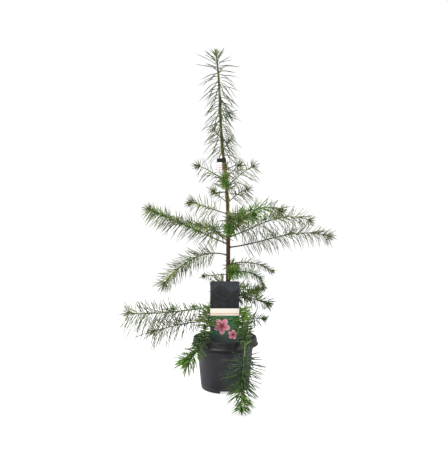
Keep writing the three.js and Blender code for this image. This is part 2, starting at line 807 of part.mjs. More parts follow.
function sleeveRings({ bottom, top }) {
  const inside = trunkHeights().filter((z) => z > bottom + 1 && z < top - 1);
  return levelRings([bottom, ...inside, top], GAP + LEADER.wall);
}

function sleeveSolid(span, twigs, bore, seed) {
  const random = seeded(seed);
  const solids = [loft(sleeveRings(span), TRUNK.sides)];
  for (const twig of twigs) {
    solids.push(loft(twig.rings, STEM.sides));
    solids.push(...growNeedles(twig, span.name, random, [span.name, "trunk"]));
  }
  solids.push(...leaderNeedles(span.bottom + 6, span.top - 4, span.name, random));
  return joined(solids).subtract(bore);
}

// The last mass: the trunk's line goes on as a thin stem to the top bud, in a brush of needles.
function leaderTipSolid(seed) {
  const random = seeded(seed);
  const bottom = TRUNK.end + GAP;
  const heights = [bottom, (bottom + TRUNK.tip) / 2, TRUNK.tip];
  const rings = ringsAlong(heights.map(trunkCentre), [1.6, 1.4, 1]);
  const needles = leaderNeedles(bottom + 4, TRUNK.tip - 1, "leader_tip", random);
  return joined([loft(rings, 5), ...needles]);
}

// Assembly

const MATERIALS = {
  pot: new THREE.MeshStandardMaterial({ color: "#46464b", roughness: 0.45, metalness: 0 }),
  soil: new THREE.MeshStandardMaterial({ color: "#241c17", roughness: 1, metalness: 0 }),
  card: new THREE.MeshStandardMaterial({ color: "#3a3c40", roughness: 0.4, metalness: 0 }),
  tag: new THREE.MeshStandardMaterial({ color: "#e9e6e4", roughness: 0.5, metalness: 0 }),
  clip: new THREE.MeshStandardMaterial({ color: "#1d1f20", roughness: 0.5, metalness: 0 }),
  bark: new THREE.MeshStandardMaterial({ color: "#6d6138", roughness: 0.85, metalness: 0 }),
  needles: new THREE.MeshStandardMaterial({ color: "#51703a", roughness: 0.6, metalness: 0 }),
};

const plant = new THREE.Group();
plant.name = "potted_european_larch";

function place(name, solid, material) {
  const mesh = new THREE.Mesh(geometryOf(solid), material);
  mesh.name = name;
  plant.add(mesh);
}

// Splits a shoot into its bare bough, if it has one, and the stem of its mass, and takes their room.
function prepare(shoot) {
  shoot.curve = courseOf(shoot);
  shoot.from = 0;
  if (shoot.bough) {
    shoot.boughRings = stemRings(shoot, 0, shoot.bough);
    shoot.from = shoot.bough + GAP / shoot.length;
    takeStem(shoot.boughRings, `bough_${shoot.name}`);
  }
  shoot.rings = stemRings(shoot, shoot.from, 1);
  takeStem(shoot.rings, shoot.name);
}

function build() {
  place("pot", potSolid(), MATERIALS.pot);
  place("soil", soilSolid(), MATERIALS.soil);
  place("label_card", cardSolid(), MATERIALS.card);
  place("tag", tagSolid(), MATERIALS.tag);
  place("tag_clip", clipSolid(), MATERIALS.clip);
  place("trunk", trunkSolid(), MATERIALS.bark);

  const bore = trunkSolid(GAP);
  takeStem(levelRings(trunkHeights(), 0), "trunk");
  SHOOTS.forEach(prepare);
  const spans = leaderSpans();
  spans.forEach((span) => takeStem(sleeveRings(span), span.name));
  SHOOTS.forEach((shoot, i) => {
    shoot.twigs = clearTwigs(shoot, seeded(900 + i));
  });
  for (const twig of LEADER_TWIGS) {
    Object.assign(twig, { curve: courseOf(twig), from: 0, bare: 0.35, twig: true });
    twig.rings = stemRings(twig, 0, 1);
    takeStem(twig.rings, twig.name);
  }

  SHOOTS.filter((shoot) => shoot.bough).forEach((shoot) => {
    place(`bough_${shoot.name}`, loft(shoot.boughRings, STEM.boughSides).subtract(bore), MATERIALS.bark);
  });
  spans.forEach((span, i) => {
    const twigs = LEADER_TWIGS.filter((twig) => twig.name === span.name);
    place(`foliage_${span.name}`, sleeveSolid(span, twigs, bore, 300 + i), MATERIALS.needles);
  });
  place("foliage_leader_tip", leaderTipSolid(400), MATERIALS.needles);
  SHOOTS.forEach((shoot, i) => {
    place(`foliage_${shoot.name}`, foliageSolid(shoot, bore, 100 + i), MATERIALS.needles);
  });
}

build();

export default plant;
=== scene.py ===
import math
from collections import namedtuple

import bmesh
import bpy
import numpy as np
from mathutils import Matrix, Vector, noise


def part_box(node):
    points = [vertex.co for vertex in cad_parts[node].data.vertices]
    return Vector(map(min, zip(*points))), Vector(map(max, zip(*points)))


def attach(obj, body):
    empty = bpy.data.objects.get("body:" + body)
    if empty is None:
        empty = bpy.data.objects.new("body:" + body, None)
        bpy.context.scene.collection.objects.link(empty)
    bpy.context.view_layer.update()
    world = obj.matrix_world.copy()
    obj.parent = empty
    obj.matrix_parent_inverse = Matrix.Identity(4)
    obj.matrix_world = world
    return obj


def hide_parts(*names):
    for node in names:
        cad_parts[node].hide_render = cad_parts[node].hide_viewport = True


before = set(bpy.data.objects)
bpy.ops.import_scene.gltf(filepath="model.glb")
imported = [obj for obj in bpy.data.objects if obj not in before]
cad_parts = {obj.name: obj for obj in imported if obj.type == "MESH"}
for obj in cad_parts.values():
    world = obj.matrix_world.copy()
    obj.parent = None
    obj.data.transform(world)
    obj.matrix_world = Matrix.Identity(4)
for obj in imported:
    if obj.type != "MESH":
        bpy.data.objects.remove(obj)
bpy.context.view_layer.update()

UP = Vector((0, 0, 1))
GOLDEN_TURN = math.pi * (3 - math.sqrt(5))

# The photograph's view: level, from this point, with the picture's middle straight ahead.
CAMERA = Vector((-0.0032, -1.5, 0.470))
LENS = 41.25
SENSOR_WIDTH = 36.0

# Made pieces that needles keep clear of, as the boxes of their solids.
POT_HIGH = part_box("pot")[1]
CARD_LOW, CARD_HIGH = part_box("label_card")
TAG_LOW, TAG_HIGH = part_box("tag")
CLIP_LOW, CLIP_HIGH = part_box("tag_clip")
SOIL_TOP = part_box("soil")[1].z

# The heights between which the card has its pale band. Nothing grows before the band or what is over it, but
# for the last stretch below the card's top.
CARD_BAND = (0.214, 0.234)
CARD_EDGE = 0.008

# The card's print: each range of hills by its height, the swing and closeness of its waves and its shade,
# and each blossom by its middle, its size and its turn.
HILLS = [(0.290, 0.0085, 95, 22), (0.277, 0.008, 140, 14), (0.262, 0.006, 190, 8)]
BLOSSOMS = [((-0.009, 0.184), 0.0235, 0.3), ((0.022, 0.160), 0.014, 1.1)]
PETALS = 5

# The pot's outside radii and heights, as in its solid.
POT = {
    "wall": 0.0016,
    "base": (0.0693, 0.0),
    "fillet": 0.0045,
    "middle": (0.078, 0.090),
    "shoulder": (0.081, 0.118),
    "neck": (0.0864, 0.124),
    "rim": (0.091, 0.147),
    "skirt": (0.0956, 0.1258),
    "bead": 0.0009,
    "floor": 0.0095,
    "sides": 160,
}

# The channels under the pot's floor: they run out past its foot, and each has a round drain over it.
CHANNEL = {
    "count": 4, "width": 0.028, "height": 0.0075, "round": 0.0025, "inner": 0.044, "beyond": 0.012,
    "drain": 0.005, "drain_at": 0.055,
}

# The soil. room: its room inside the pot. middle and edge: how far its middle lies under its solid's top,
# and its edge under its middle, where edge_at is the radius of that fall. rough and fine: how close its
# lumps stand, where they are taken from and how high they are. sides and rings: its points round and
# outwards. crumbs: how many are tried, out_to the share of the soil that they lie on, clear their way to the
# card, crumb and larger their least size and how much larger some are, raised how far they stand up, and
# uneven how far their corners are from the middle, as the least and how much more.
SOIL = {
    "room": 0.0008, "middle": 0.0008, "edge": 0.004, "edge_at": 0.085,
    "rough": (45, 3.0, 0.0022), "fine": (190, 7.0, 0.0011), "sides": 120, "rings": 30,
    "crumbs": 420, "out_to": 0.93, "clear": 0.001, "crumb": 0.0012, "larger": 0.0026, "raised": 0.3,
    "uneven": (0.65, 0.7),
}

# The trunk: where it stands on the soil, its end, and its diameters at foot and tip. LEAN gives its sideways
# place by height, and the leading shoot is what stands over LEADER_BOTTOM.
FOOT = 0.1313
TIP = 0.970
TRUNK = {"base": 0.0145, "point": 0.0025, "taper": 0.75, "flare": 0.003, "flare_depth": 0.012}
LEAN = [
    (0.131, 0.005), (0.325, 0.0085), (0.430, 0.009), (0.530, 0.007), (0.620, 0.002),
    (0.690, -0.0075), (0.760, -0.0125), (0.825, -0.015), (0.900, -0.019), (0.970, -0.026),
]
LEADER_BOTTOM = 0.668

# The bark. depth: how deep its relief is on wood of the radius thick, and least and most bound the share of
# that on other wood. ridges and flakes: how close they stand across and along, each with its share of the
# depth.
BARK = {
    "depth": 0.0006, "thick": 0.007, "least": 0.25, "most": 1.2,
    "ridges": (420, 60), "ridge_share": 0.7, "flakes": (700, 260), "flake_share": 0.5,
}

# The trunk's steps and sides, and how much the old cushions thicken it on the leading shoot, but for its
# foot and its tip.
TRUNK_STEP = 0.0018
TRUNK_SIDES = 36
CUSHIONED = 0.0007
CUSHIONED_OVER, CUSHIONED_UNDER = 0.02, 0.05

# The scars on the bare trunk. first: how far over the soil they start. apart: their spacing, as the least
# one and how much more it may be, and so for their length. sunk: how deep they sit. rise: how steeply they
# stand.
SCAR = {
    "first": 0.02, "apart": (0.0045, 0.003), "sunk": 0.0004, "rise": 0.9, "length": (0.0012, 0.0008),
    "radius": 0.0009,
}

# The heights over which the trunk's brown bark turns to straw, and its straw to green.
BROWN_END = (0.43, 0.50)
GREEN_START = (0.655, 0.70)

# A side shoot: the height of its root on the trunk, its length, then heading and rise in degrees at root,
# middle and tip, where heading 0 is +X and 90 is away from the camera. bare is the share without needles,
# which is a limb of its own where bough is true. full is how thickly its needles stand, tone and tip_tone
# are their colours on its older and younger half, and spurs is how many short rosettes stand on its older
# half. needle is the length of its needles to the habit's own, or some such lengths from root to tip. A
# crowd above 1 draws them to its root, thin is a stretch of it that lost most, and tuft is the length of
# those at its tip to the common one. young is how many short new needles stand close round its outer part.
Shoot = namedtuple(
    "Shoot",
    "name height length heading rise bare bough habit full tone tip_tone spurs needle crowd thin tuft young",
    defaults=(False, "open", 1.0, "olive", "leaf", 0, 1.0, 0.88, (0, 0), 1.0, 0),
)
SHOOTS = [
    Shoot("left_1", 0.590, 0.103, 165, (46, 32, 22), 0.12, full=0.5),
    Shoot(
        "left_2", 0.535, 0.055, 205, (34, 37, 36), 0.3, habit="close", full=0.85, tone="leaf",
        needle=0.62,
    ),
    Shoot("left_3", 0.502, 0.115, 172, (16, 19, 12), 0.15, full=0.88, young=34),
    Shoot(
        "left_4", 0.434, 0.135, (150, 155, 160), (23, 17, 21), 0.1, full=0.5, tone="leaf",
        needle=(1.0, 1.2, 1.3),
    ),
    Shoot(
        "left_5", 0.414, 0.251, (190, 188, 185), (22, 25, 20), 0.15, True, "arched", 0.88,
        ("leaf", "leaf", "grey", "moss"), needle=(0.9, 1.1, 1.2, 1.3), crowd=0.55, young=230,
    ),
    Shoot(
        "left_6", 0.381, 0.217, 186, (21, -27, -51), 0.16, True, "open", 1.5,
        crowd=1.0, tuft=1.5, young=70,
    ),
    Shoot("left_7", 0.326, 0.084, 150, (3, -9, 0), 0.2, full=0.4, tone="grey", needle=0.5, tuft=0.45),
    Shoot(
        "left_8", 0.237, 0.291, 182, (-6, -6, 3), 0.17, True, "weeping", 1.45,
        ("grey", "grey", "grey", "leaf"), spurs=2, needle=(0.3, 0.6, 1.35, 1.45, 1.6), crowd=0.86, tuft=1.15,
    ),
    Shoot(
        "left_9", 0.184, 0.222, 176, (11, -9, -17), 0.2, True, "weeping", 1.2,
        ("grey", "grey", "grey", "leaf"), spurs=1, needle=(0.45, 0.6, 1.0, 1.4, 1.65), crowd=0.9, tuft=1.0,
    ),
    Shoot(
        "left_10", 0.280, 0.248, (193, 244, 220), (-30, -54, -19), 0.2, True, "hanging", 1.5,
        ("fresh", "leaf", "deep", "deep", "fresh"), needle=(0.3, 1.0, 0.4, 0.75, 1.15), crowd=1.05, tuft=1.7,
    ),
    Shoot("right_1", 0.606, 0.060, 35, (46, 42, 40), 0.3, habit="close", full=0.6),
    Shoot("right_2", 0.580, 0.100, -12, (43, 39, 24), 0.16, habit="weeping", full=0.72, needle=0.85),
    Shoot("right_3", 0.535, 0.076, 20, (38, 36, 16), 0.2, habit="weeping", full=1.3, needle=0.75),
    Shoot(
        "right_4", 0.426, 0.228, (-50, -45, -40), (52, 27, -25), 0.15, True, "dense", 0.7,
        ("fresh", "leaf", "fresh", "leaf"), spurs=2,
    ),
    Shoot(
        "right_5", 0.434, 0.269, 15, (17, 18, -24), 0.14, True, "open", 0.95, "grey", "olive", 1,
        needle=(1.1, 1.4, 1.2, 0.9), crowd=1.0,
    ),
    Shoot("right_6", 0.405, 0.294, -6, (5, 13, -18), 0.13, True, "open", 0.95, "grey", "grey", 1),
    Shoot(
        "right_7", 0.354, 0.156, 25, (16, -10, -31), 0.2, True, "close", 0.9, "grey", "grey",
        needle=0.6, tuft=0.4,
    ),
    Shoot("right_8", 0.246, 0.095, -9, (26, 25, 20), 0.25, habit="close", full=1.3, tone="deep"),
    Shoot("right_9", 0.257, 0.124, 5, (3, -6, -24), 0.2, False, "close", 1.2, "deep", "deep"),
    Shoot("right_10", 0.199, 0.114, 12, (3, -4, -5), 0.2, False, "close", 1.0, "deep", "deep", tuft=0.5),
    Shoot(
        "right_11", 0.268, 0.353, (-30, -95, -86), (-36, -49, -48), 0.15, True, "hanging", 1.5,
        ("fresh", "deep", "deep", "dusty", "deep", "fresh"), needle=(0.65, 0.62, 0.36, 1.15, 1.15, 0.8),
        crowd=1.1, thin=(0.50, 0.60), tuft=1.1,
    ),
    Shoot(
        "front_1", 0.576, 0.060, 262, (22, 28, 34), 0.08, False, "brush", 0.85, "fresh", "fresh",
        needle=0.55,
    ),
    Shoot(
        "front_2", 0.440, 0.088, 274, (32, 34, 32), 0.08, False, "brush", 1.0, ("fresh", "fresh", "leaf"),
        needle=0.76,
    ),
    Shoot("front_3", 0.460, 0.108, 316, (30, 20, 10), 0.2, habit="close", tone="leaf", tip_tone="fresh"),
    Shoot(
        "front_4", 0.329, 0.138, (-60, -14, -5), (8, -8, -95), 0.06, False, "brush", 0.85, "fresh", "deep",
        needle=0.8, crowd=2.2, tuft=0.6,
    ),
    Shoot("back_1", 0.604, 0.090, 96, (35, 30, 30), 0.2, full=0.7),
    Shoot("back_2", 0.550, 0.095, 92, (35, 30, 25), 0.2, full=0.7, tone="leaf"),
    Shoot("back_3", 0.448, 0.190, 75, (30, 20, 5), 0.18, True, full=0.7, tone="leaf", spurs=1),
    Shoot("back_4", 0.420, 0.200, 118, (25, 15, 0), 0.18, True, full=0.7, tone="leaf", spurs=1),
    Shoot("back_5", 0.336, 0.180, 82, (15, 0, -20), 0.12, full=0.8, tone="leaf", needle=0.6, tuft=0.7),
    Shoot("back_6", 0.298, 0.150, 104, (0, -8, -15), 0.15, full=0.7),
    Shoot("back_7", 0.270, 0.190, 60, (10, -5, -10), 0.12, full=0.7, tone="leaf", spurs=2),
    Shoot("back_8", 0.222, 0.200, 100, (15, 0, -15), 0.2, True, full=0.7, tone="leaf", spurs=1),
]

# The shoots that have no side twigs.
PLAIN_SHOOTS = ("left_6", "left_10", "right_11")

# The leading shoot's sleeves of needles, and its short twigs.
SLEEVES = ("leader_1", "leader_2", "leader_3", "leader_tip")
LeaderTwig = namedtuple("LeaderTwig", "height length heading rise tone")
LEADER_TWIGS = [
    LeaderTwig(0.722, 0.036, 175, (45, 50, 60), "leaf"),
    LeaderTwig(0.688, 0.034, 20, (50, 55, 60), "leaf"),
    LeaderTwig(0.800, 0.030, (-20, -25, -30), (16, -16, -44), "deep"),
]

# The line of a shoot is drawn in so many steps. Its radius goes evenly from the root's to the tip's, and the
# root's is the least one and one part in STEM_SLENDER of the length.
COURSE_STEPS = 96
STEM_TIP = 0.00115
STEM_ROOT = 0.0012
STEM_SLENDER = 320

# How needles stand on a shoot: the way between two strands, the needles in a strand, their length, their
# width to the common one, their lean off the shoot's line in degrees from its root to its tip, how far they
# hang from the start and bend down further out, by what share those on the upper side are shorter, how round
# the shoot's brush is, how far a strand's needles stand apart, how thick the tuft at its tip is, and how
# many degrees more those on the upper side lean.
Habit = namedtuple(
    "Habit",
    "spacing strand length width lean sag droop upper round splay tip stand",
    defaults=(1.0, 0.08, 1.0, 0),
)
HABITS = {
    "open": Habit(0.0017, 2, 0.052, 1.08, (70, 54), 0.14, 0.34, 0.20, 1.2, 0.05),
    "close": Habit(0.0015, 2, 0.041, 1.05, (70, 50), 0.14, 0.25, 0.15, 1.0, 0.06),
    "dense": Habit(0.0015, 2, 0.050, 1.15, (66, 50), 0.10, 0.25, 0.10, 1.1, 0.06),
    "arched": Habit(0.0012, 2, 0.050, 1.1, (64, 60), 0.16, 0.30, 0.40, 1.15, 0.05),
    "brush": Habit(0.0003, 1, 0.030, 0.9, (80, 30), 0.0, 0.06, 0.0),
    "weeping": Habit(0.0017, 2, 0.066, 0.84, (62, 56), 0.10, 0.24, 0.40, 2.6, 0.02, 0.8, 14),
    "hanging": Habit(0.0012, 2, 0.056, 2.3, (108, 98, 74, 62, 50), 0.0, 0.26, 0.0, 0.5, 0.03),
    "leading": Habit(0.0, 2, 0.071, 1.25, (0, 0), 0.0, 0.0, 0.0, 1.0, 0.03),
}

# The needle: its blade, how much of its thickness lies over and under its middle, and the share of its bend
# that falls on each of its steps.
BLADE_WIDTH = 0.0021
BLADE_THICK = 0.0012
BLADE_PROFILE = [0.60, 0.95, 1.0, 0.92, 0.66]
BLADE_BACK, BLADE_KEEL = 0.7, 1.3
BEND = [0.28, 0.30, 0.20, 0.14, 0.08]
NEEDLE_STEPS = len(BLADE_PROFILE)

# One needle: its tone, where it roots and which way it goes, its length, how much it bends down, the line
# that it stands on, and its width to the common one. A strand is not placed yet: it has its share of the
# stem, its tone, its lean and length, and how limp it is.
Needle = namedtuple("Needle", "tone root direction length droop along width")
Strand = namedtuple("Strand", "share tone lean length limp")

# How near needles come to made pieces, to the trunk and to the floor.
CLEARANCE = 0.0012
TRUNK_CLEARANCE = 0.0005
LOWEST = 0.0026

# A spray. first: how far past the limb its first strand stands. last: the share of the shoot where its last
# does. tries: the turns that are tried until a needle has room. turn: how far the first of them may be off.
# vary: how many degrees a lean varies by. on_twig: how long needles are on a twig. shorter: how much shorter
# they get to the tip. lost: the share that a thin stretch has lost. limp: how limp a needle is, as the least
# and how much more. level and raised: how much it droops where it lies level, and how much less where it
# stands up. upper: how soon a rising needle counts as one on the upper side.
SPRAY = {
    "first": 0.004, "last": 0.985, "tries": (0.0, 2.4, 4.1), "turn": 2.4, "vary": 28, "on_twig": 0.66,
    "shorter": 0.3, "lost": 0.85, "limp": (0.4, 1.2), "level": 0.75, "raised": 0.45, "upper": 1.4,
}

# The further needles of a strand. beside: how far from the first one they root. droop: how much theirs
# differs.
MATE = {"beside": 0.0016, "droop": 3.5}

# How deep in the bark needles root, as a share of its radius.
ROOT_DEPTH = 0.7

# The leading shoot's needles. first and last: how far they are from its foot and its tip. apart: how far
# apart they stand at the top. wider: how much further apart below. rise: how many degrees they rise at the
# top. less: how many fewer below. vary: how many degrees that varies by. top: how far down these changes
# reach. depth: how deep their brush is to its width. shortest: how short they are at the very top. short:
# how far past the tip and over what length they come down to that. stiff and limp: how much they droop at
# the top and how much more below. limper: how that varies. dusty: the share of dusty ones.
LEADER = {
    "rise": 62, "less": 56, "vary": 30, "top": 0.080, "depth": 0.7, "shortest": 0.28,
    "apart": 0.0013, "wider": 0.0008, "first": 0.004, "last": 0.001, "short": (0.012, 0.050),
    "stiff": 0.05, "limp": 1.2, "limper": (0.55, 0.7), "dusty": 0.6,
}

# The tufts. count and twig_count: their needles on a shoot and on a twig. lean: how many degrees these lean,
# in the middle and outside. back and out: how far back and beside the line they root. A spur's stands on a
# short woody foot. until: the share of a shoot where spurs end. first and over: how they are spread up to
# there. turn: how far they are off the upper side. deep and sunk: how deep a foot roots, and its needles in
# it.
TUFT = {
    "count": 30, "twig_count": 7, "length": 0.024, "lean": (8, 82), "back": 0.006, "out": 0.0006,
    "droop": 0.15,
}
LEADER_TUFT = {"count": 26, "length": 0.015, "lean": (4, 30), "back": 0.012, "width": 1.1, "droop": 0.05}
SPUR = {
    "count": 18, "length": 0.022, "lean": (12, 74), "width": 0.85, "droop": 0.2, "until": 0.62,
    "first": 0.8, "over": 0.2, "turn": 0.9, "deep": 0.6, "foot": 0.0042, "thick": 0.0017, "sunk": 0.0004,
}

# The new needles on the outer part of a shoot, with bright as the share of the brightest ones.
YOUNG = {
    "from": 0.34, "to": 0.97, "length": 0.0145, "lean": 48, "vary": 30, "width": 0.85, "droop": 0.1,
    "bright": 0.75,
}

# How the length of needles and twigs is dealt out: the least share of it, and how much more there may be.
LENGTHS = {
    "spray": (0.7, 0.5), "mate": (0.74, 0.3), "tuft": (0.7, 0.5), "spur": (0.75, 0.5), "young": (0.7, 0.6),
    "leader": (0.74, 0.4), "leader_tuft": (0.75, 0.4), "twig": (0.7, 0.45),
}

# Where each kind of draw starts.
SEEDS = {
    "scars": 41, "crumbs": 77, "spray": 100, "leader": 300, "spurs": 500, "young": 700, "twigs": 900,
    "twig_spray": 1300, "leader_twig": 1700,
}

# The side twigs of a long shoot. every: one for each such length. first, shift and over: how they are spread
# along it. rise and bend: how much they turn up at the foot and further out. bare and full: the share
# without needles, and how thickly these stand on the rest. needle: how long they are.
TWIG = {
    "every": 0.170, "length": 0.038, "lean": 48, "vary": 10, "rise": 0.25, "bend": 0.12, "needle": 0.7,
    "steps": 12, "first": 0.55, "shift": 0.3, "over": 0.6, "bare": 0.3, "full": 0.6,
}
LEADER_TWIG_BARE = 0.35

# The buds at the tips of shoots, of twigs and of the leading shoot: how far down they sit, their length,
# their radius and their sides.
SHOOT_BUD = (0.0008, 0.0045, 0.0016, 6)
TWIG_BUD = (0.0006, 0.0034, 0.0013, 6)
LEADER_BUD = (0.0008, 0.005, 0.0018, 8)

# The tones that are dealt in with each tone, the first of them at times and the second seldom, and the tone
# that a share of a tuft's needles takes in place of its stem's.
NEAR_TONES = {
    "fresh": ("leaf", "pale"),
    "leaf": ("olive", "pale"),
    "moss": ("leaf", "pale"),
    "olive": ("leaf", "pale"),
    "grey": ("olive", "olive"),
    "deep": ("leaf", "fresh"),
    "dusty": ("deep", "deep"),
}
AT_TIMES, SELDOM = 0.26, 0.08
TUFT_TONES = {"olive": "leaf", "grey": "olive", "dusty": "fresh"}
TUFT_OWN = 0.7

# The share of a shoot from which its bark is that of the last year.
YOUNG_WOOD = 0.42

# The bark of shoots and twigs: its steps and sides, how deep a shoot starts in the trunk as a share of its
# radius, and the gap between a shoot and its bough.
BARK_STEP = 0.005
SHOOT_SIDES, TWIG_SIDES = 8, 7
SHOOT_DEPTH = 0.6
BOUGH_GAP = 0.0003

# A bare limb: where it starts as a share of the trunk's radius, how far it runs in under the needles as a
# share of its shoot, its steps and sides, and its flare at the trunk.
BOUGH = {
    "start": 0.5, "under": 0.002, "step": 0.0015, "sides": 18, "flare": 0.0012, "flare_depth": 0.0025,
}

# The studio: the light from all round, the white wall and the floor, and soft lights with place, aim, size
# and power.
SKY_LIGHT = 0.78
WALL_LIGHT = 1.05
FLOOR_LIGHT = (0.62, 0.62, 0.62, 1)
FLOOR_RADIUS = 30.0
SOFTBOXES = {
    "key": ((-1.4, -1.5, 1.9), (0, 0, 0.4), 1.0, 62),
    "side": ((1.9, -0.3, 1.0), (0, 0, 0.35), 1.0, 16),
    "edge": ((-1.9, 0.3, 0.7), (0, 0, 0.3), 1.0, 20),
    "top": ((0.0, 0.4, 2.4), (0, 0, 0.4), 1.6, 20),
}


def varied(draw, least, more):
    """A drawn number from the least one to so much more."""
    return least + more * draw()


def srgb(red, green, blue):
    """A colour from its 0 to 255 screen values, as the shaders take it."""
    def channel(value):
        value /= 255
        return value / 12.92 if value <= 0.04045 else ((value + 0.055) / 1.055) ** 2.4
    return (channel(red), channel(green), channel(blue), 1.0)


def seeded(seed):
    """A small generator, the same that the solids have, so that twigs fall where theirs do."""
    mask = 0xFFFFFFFF
    state = seed & mask

    def draw():
        nonlocal state
        state = (state + 0x6D2B79F5) & mask
        t = ((state ^ (state >> 15)) * (1 | state)) & mask
        t = ((t + (((t ^ (t >> 7)) * (61 | t)) & mask)) & mask) ^ t
        return ((t ^ (t >> 14)) & mask) / (mask + 1)

    return draw


def blend(values, share):
    """A value that is a at share 0, b at share 0.5 and c at share 1, on one smooth curve."""
    if not isinstance(values, tuple):
        return values
    a, b, c = values
    return a * (1 - share) * (1 - 2 * share) + b * 4 * share * (1 - share) + c * share * (2 * share - 1)


def between(values, share):
    """The value at a share of the way through a row of values, or the one value itself."""
    if not isinstance(values, tuple):
        return values
    place = share * (len(values) - 1)
    i = min(int(place), len(values) - 2)
    return values[i] + (values[i + 1] - values[i]) * (place - i)


def clamp(value, low=0.0, high=1.0):
    return max(low, min(high, value))


def turned(first, second, angle):
    """The way that lies an angle off the first direction, towards the second."""
    return first * math.cos(angle) + second * math.sin(angle)


def level_way(angle):
    return Vector((math.cos(angle), math.sin(angle), 0))


def turns_of(sides):
    return [2 * math.pi * k / sides for k in range(sides)]


# Meshes


class Solid:
    """Vertices and faces gathered from many small shapes, for one joined piece."""

    def __init__(self):
        self.points = []
        self.faces = []

    def add(self, points, faces):
        start = len(self.points)
        self.points.extend(points)
        self.faces.extend(tuple(start + i for i in face) for face in faces)

    def piece(self, name, material, smooth=True):
        mesh = bpy.data.meshes.new(name)
        mesh.from_pydata(self.points, [], self.faces)
        return piece_of(name, mesh, material, smooth=smooth)


def linked(name, data):
    """A new object in the scene."""
    made = bpy.data.objects.new(name, data)
    bpy.context.scene.collection.objects.link(made)
    return made


def piece_of(name, mesh, *materials, smooth=True):
    for material in materials:
        mesh.materials.append(material)
    mesh.polygons.foreach_set("use_smooth", [smooth] * len(mesh.polygons))
    mesh.validate()
    mesh.update()
    return linked(name, mesh)


def mesh_of(made, name):
    """The mesh of gathered corners and faces, which are then let go."""
    mesh = bpy.data.meshes.new(name)
    made.to_mesh(mesh)
    made.free()
    return mesh


def finished(piece, slot, *nodes):
    """The piece rides on the plant and stands for its nodes. slot is not used."""
    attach(piece, "root")
    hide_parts(*nodes)
    return piece


def frames_along(points):
    """For each point of a line: the way it runs, and two unit vectors across it that don't twist."""
    across = None
    frames = []
    for i, _ in enumerate(points):
        along = (points[min(i + 1, len(points) - 1)] - points[max(i - 1, 0)]).normalized()
        if across is None:
            across = along.cross(Vector((0, 1, 0)) if abs(along.z) > 0.9 else UP)
        across = (across - along * across.dot(along)).normalized()
        frames.append((along, across.copy(), along.cross(across)))
    return frames


def add_tube(solid, points, radius_at, sides, relief=None):
    """A closed tube along points. Its radius goes by a point's number, and its relief by the place."""
    rings = []
    turns = turns_of(sides)
    for i, (centre, (_, across, over)) in enumerate(zip(points, frames_along(points))):
        radius = radius_at(i)
        for turn in turns:
            out = turned(across, over, turn)
            place = centre + out * radius
            if relief:
                place += out * relief(place, radius)
            rings.append(place)
    last = (len(points) - 1) * sides
    faces = []
    for start in range(0, last, sides):
        for k in range(sides):
            a, b = start + k, start + (k + 1) % sides
            faces.append((a, b, b + sides, a + sides))
    faces.append(tuple(range(sides - 1, -1, -1)))
    faces.append(tuple(range(last, last + sides)))
    solid.add(rings, faces)


def bridge(made, low, high):
    """Faces between two rings of corners, either of which may be a single one."""
    sides = max(len(low), len(high))
    for k in range(sides):
        after = (k + 1) % sides
        if len(low) == 1:
            made.faces.new((low[0], high[after], high[k]))
        elif len(high) == 1:
            made.faces.new((low[k], low[after], high[0]))
        else:
            made.faces.new((low[k], low[after], high[after], high[k]))


def add_prism(made, low, high):
    """A closed shape between two like outlines."""
    ends = [[made.verts.new(point) for point in outline] for outline in (low, high)]
    made.faces.new(reversed(ends[0]))
    made.faces.new(ends[1])
    bridge(made, *ends)


def turned_mesh(name, profile, sides):
    """A closed profile of radius and height, turned about the upright axis."""
    made = bmesh.new()
    rings = []
    for radius, height in profile:
        turns = turns_of(sides) if radius else [0.0]
        spots = [(radius * math.cos(turn), radius * math.sin(turn), height) for turn in turns]
        rings.append([made.verts.new(spot) for spot in spots])
    for low, high in zip(rings, rings[1:]):
        bridge(made, low, high)
    bmesh.ops.recalc_face_normals(made, faces=made.faces)
    return mesh_of(made, name)


def corner(centre, radius, start, end, steps=5):
    """Points of a round corner in a profile, from one angle to another in degrees."""
    turns = [math.radians(start + (end - start) * i / steps) for i in range(steps + 1)]
    return [(centre[0] + radius * math.cos(t), centre[1] + radius * math.sin(t)) for t in turns]


# Materials


def node(tree, kind, values=None, **settings):
    """A node with its settings, and its inputs set to values or linked to sockets."""
    made = tree.nodes.new(kind)
    for key, value in settings.items():
        setattr(made, key, value)
    for key, value in (values or {}).items():
        if isinstance(value, bpy.types.NodeSocket):
            tree.links.new(value, made.inputs[key])
        else:
            made.inputs[key].default_value = value
    return made


def math_node(tree, operation, first, second=0.0, third=0.0):
    return node(tree, "ShaderNodeMath", {0: first, 1: second, 2: third}, operation=operation).outputs[0]


def mix_colours(tree, share, first, second):
    values = {0: share, 6: first, 7: second}
    return node(tree, "ShaderNodeMix", values, data_type="RGBA").outputs[2]


def spread(tree, value, low, high, to_low=0.0, to_high=1.0):
    """A value taken from one range to another, held at the ends."""
    values = {"Value": value, "From Min": low, "From Max": high, "To Min": to_low, "To Max": to_high}
    return node(tree, "ShaderNodeMapRange", values, interpolation_type="SMOOTHSTEP").outputs[0]


def near_mask(tree, value, middle, outer, inner):
    """1 within the inner distance of a value, and 0 from the outer on."""
    away = math_node(tree, "ABSOLUTE", math_node(tree, "SUBTRACT", value, middle))
    return spread(tree, away, outer, inner)


def object_place(tree):
    return node(tree, "ShaderNodeTexCoord").outputs["Object"]


def parts_of(tree, vector):
    return node(tree, "ShaderNodeSeparateXYZ", {0: vector}).outputs


def stretched_place(tree, squash):
    """The place on a piece, drawn out along the height where squash is under 1."""
    scale = node(tree, "ShaderNodeCombineXYZ", {"X": 1.0, "Y": 1.0, "Z": squash}).outputs[0]
    values = {0: object_place(tree), 1: scale}
    return node(tree, "ShaderNodeVectorMath", values, operation="MULTIPLY").outputs[0]


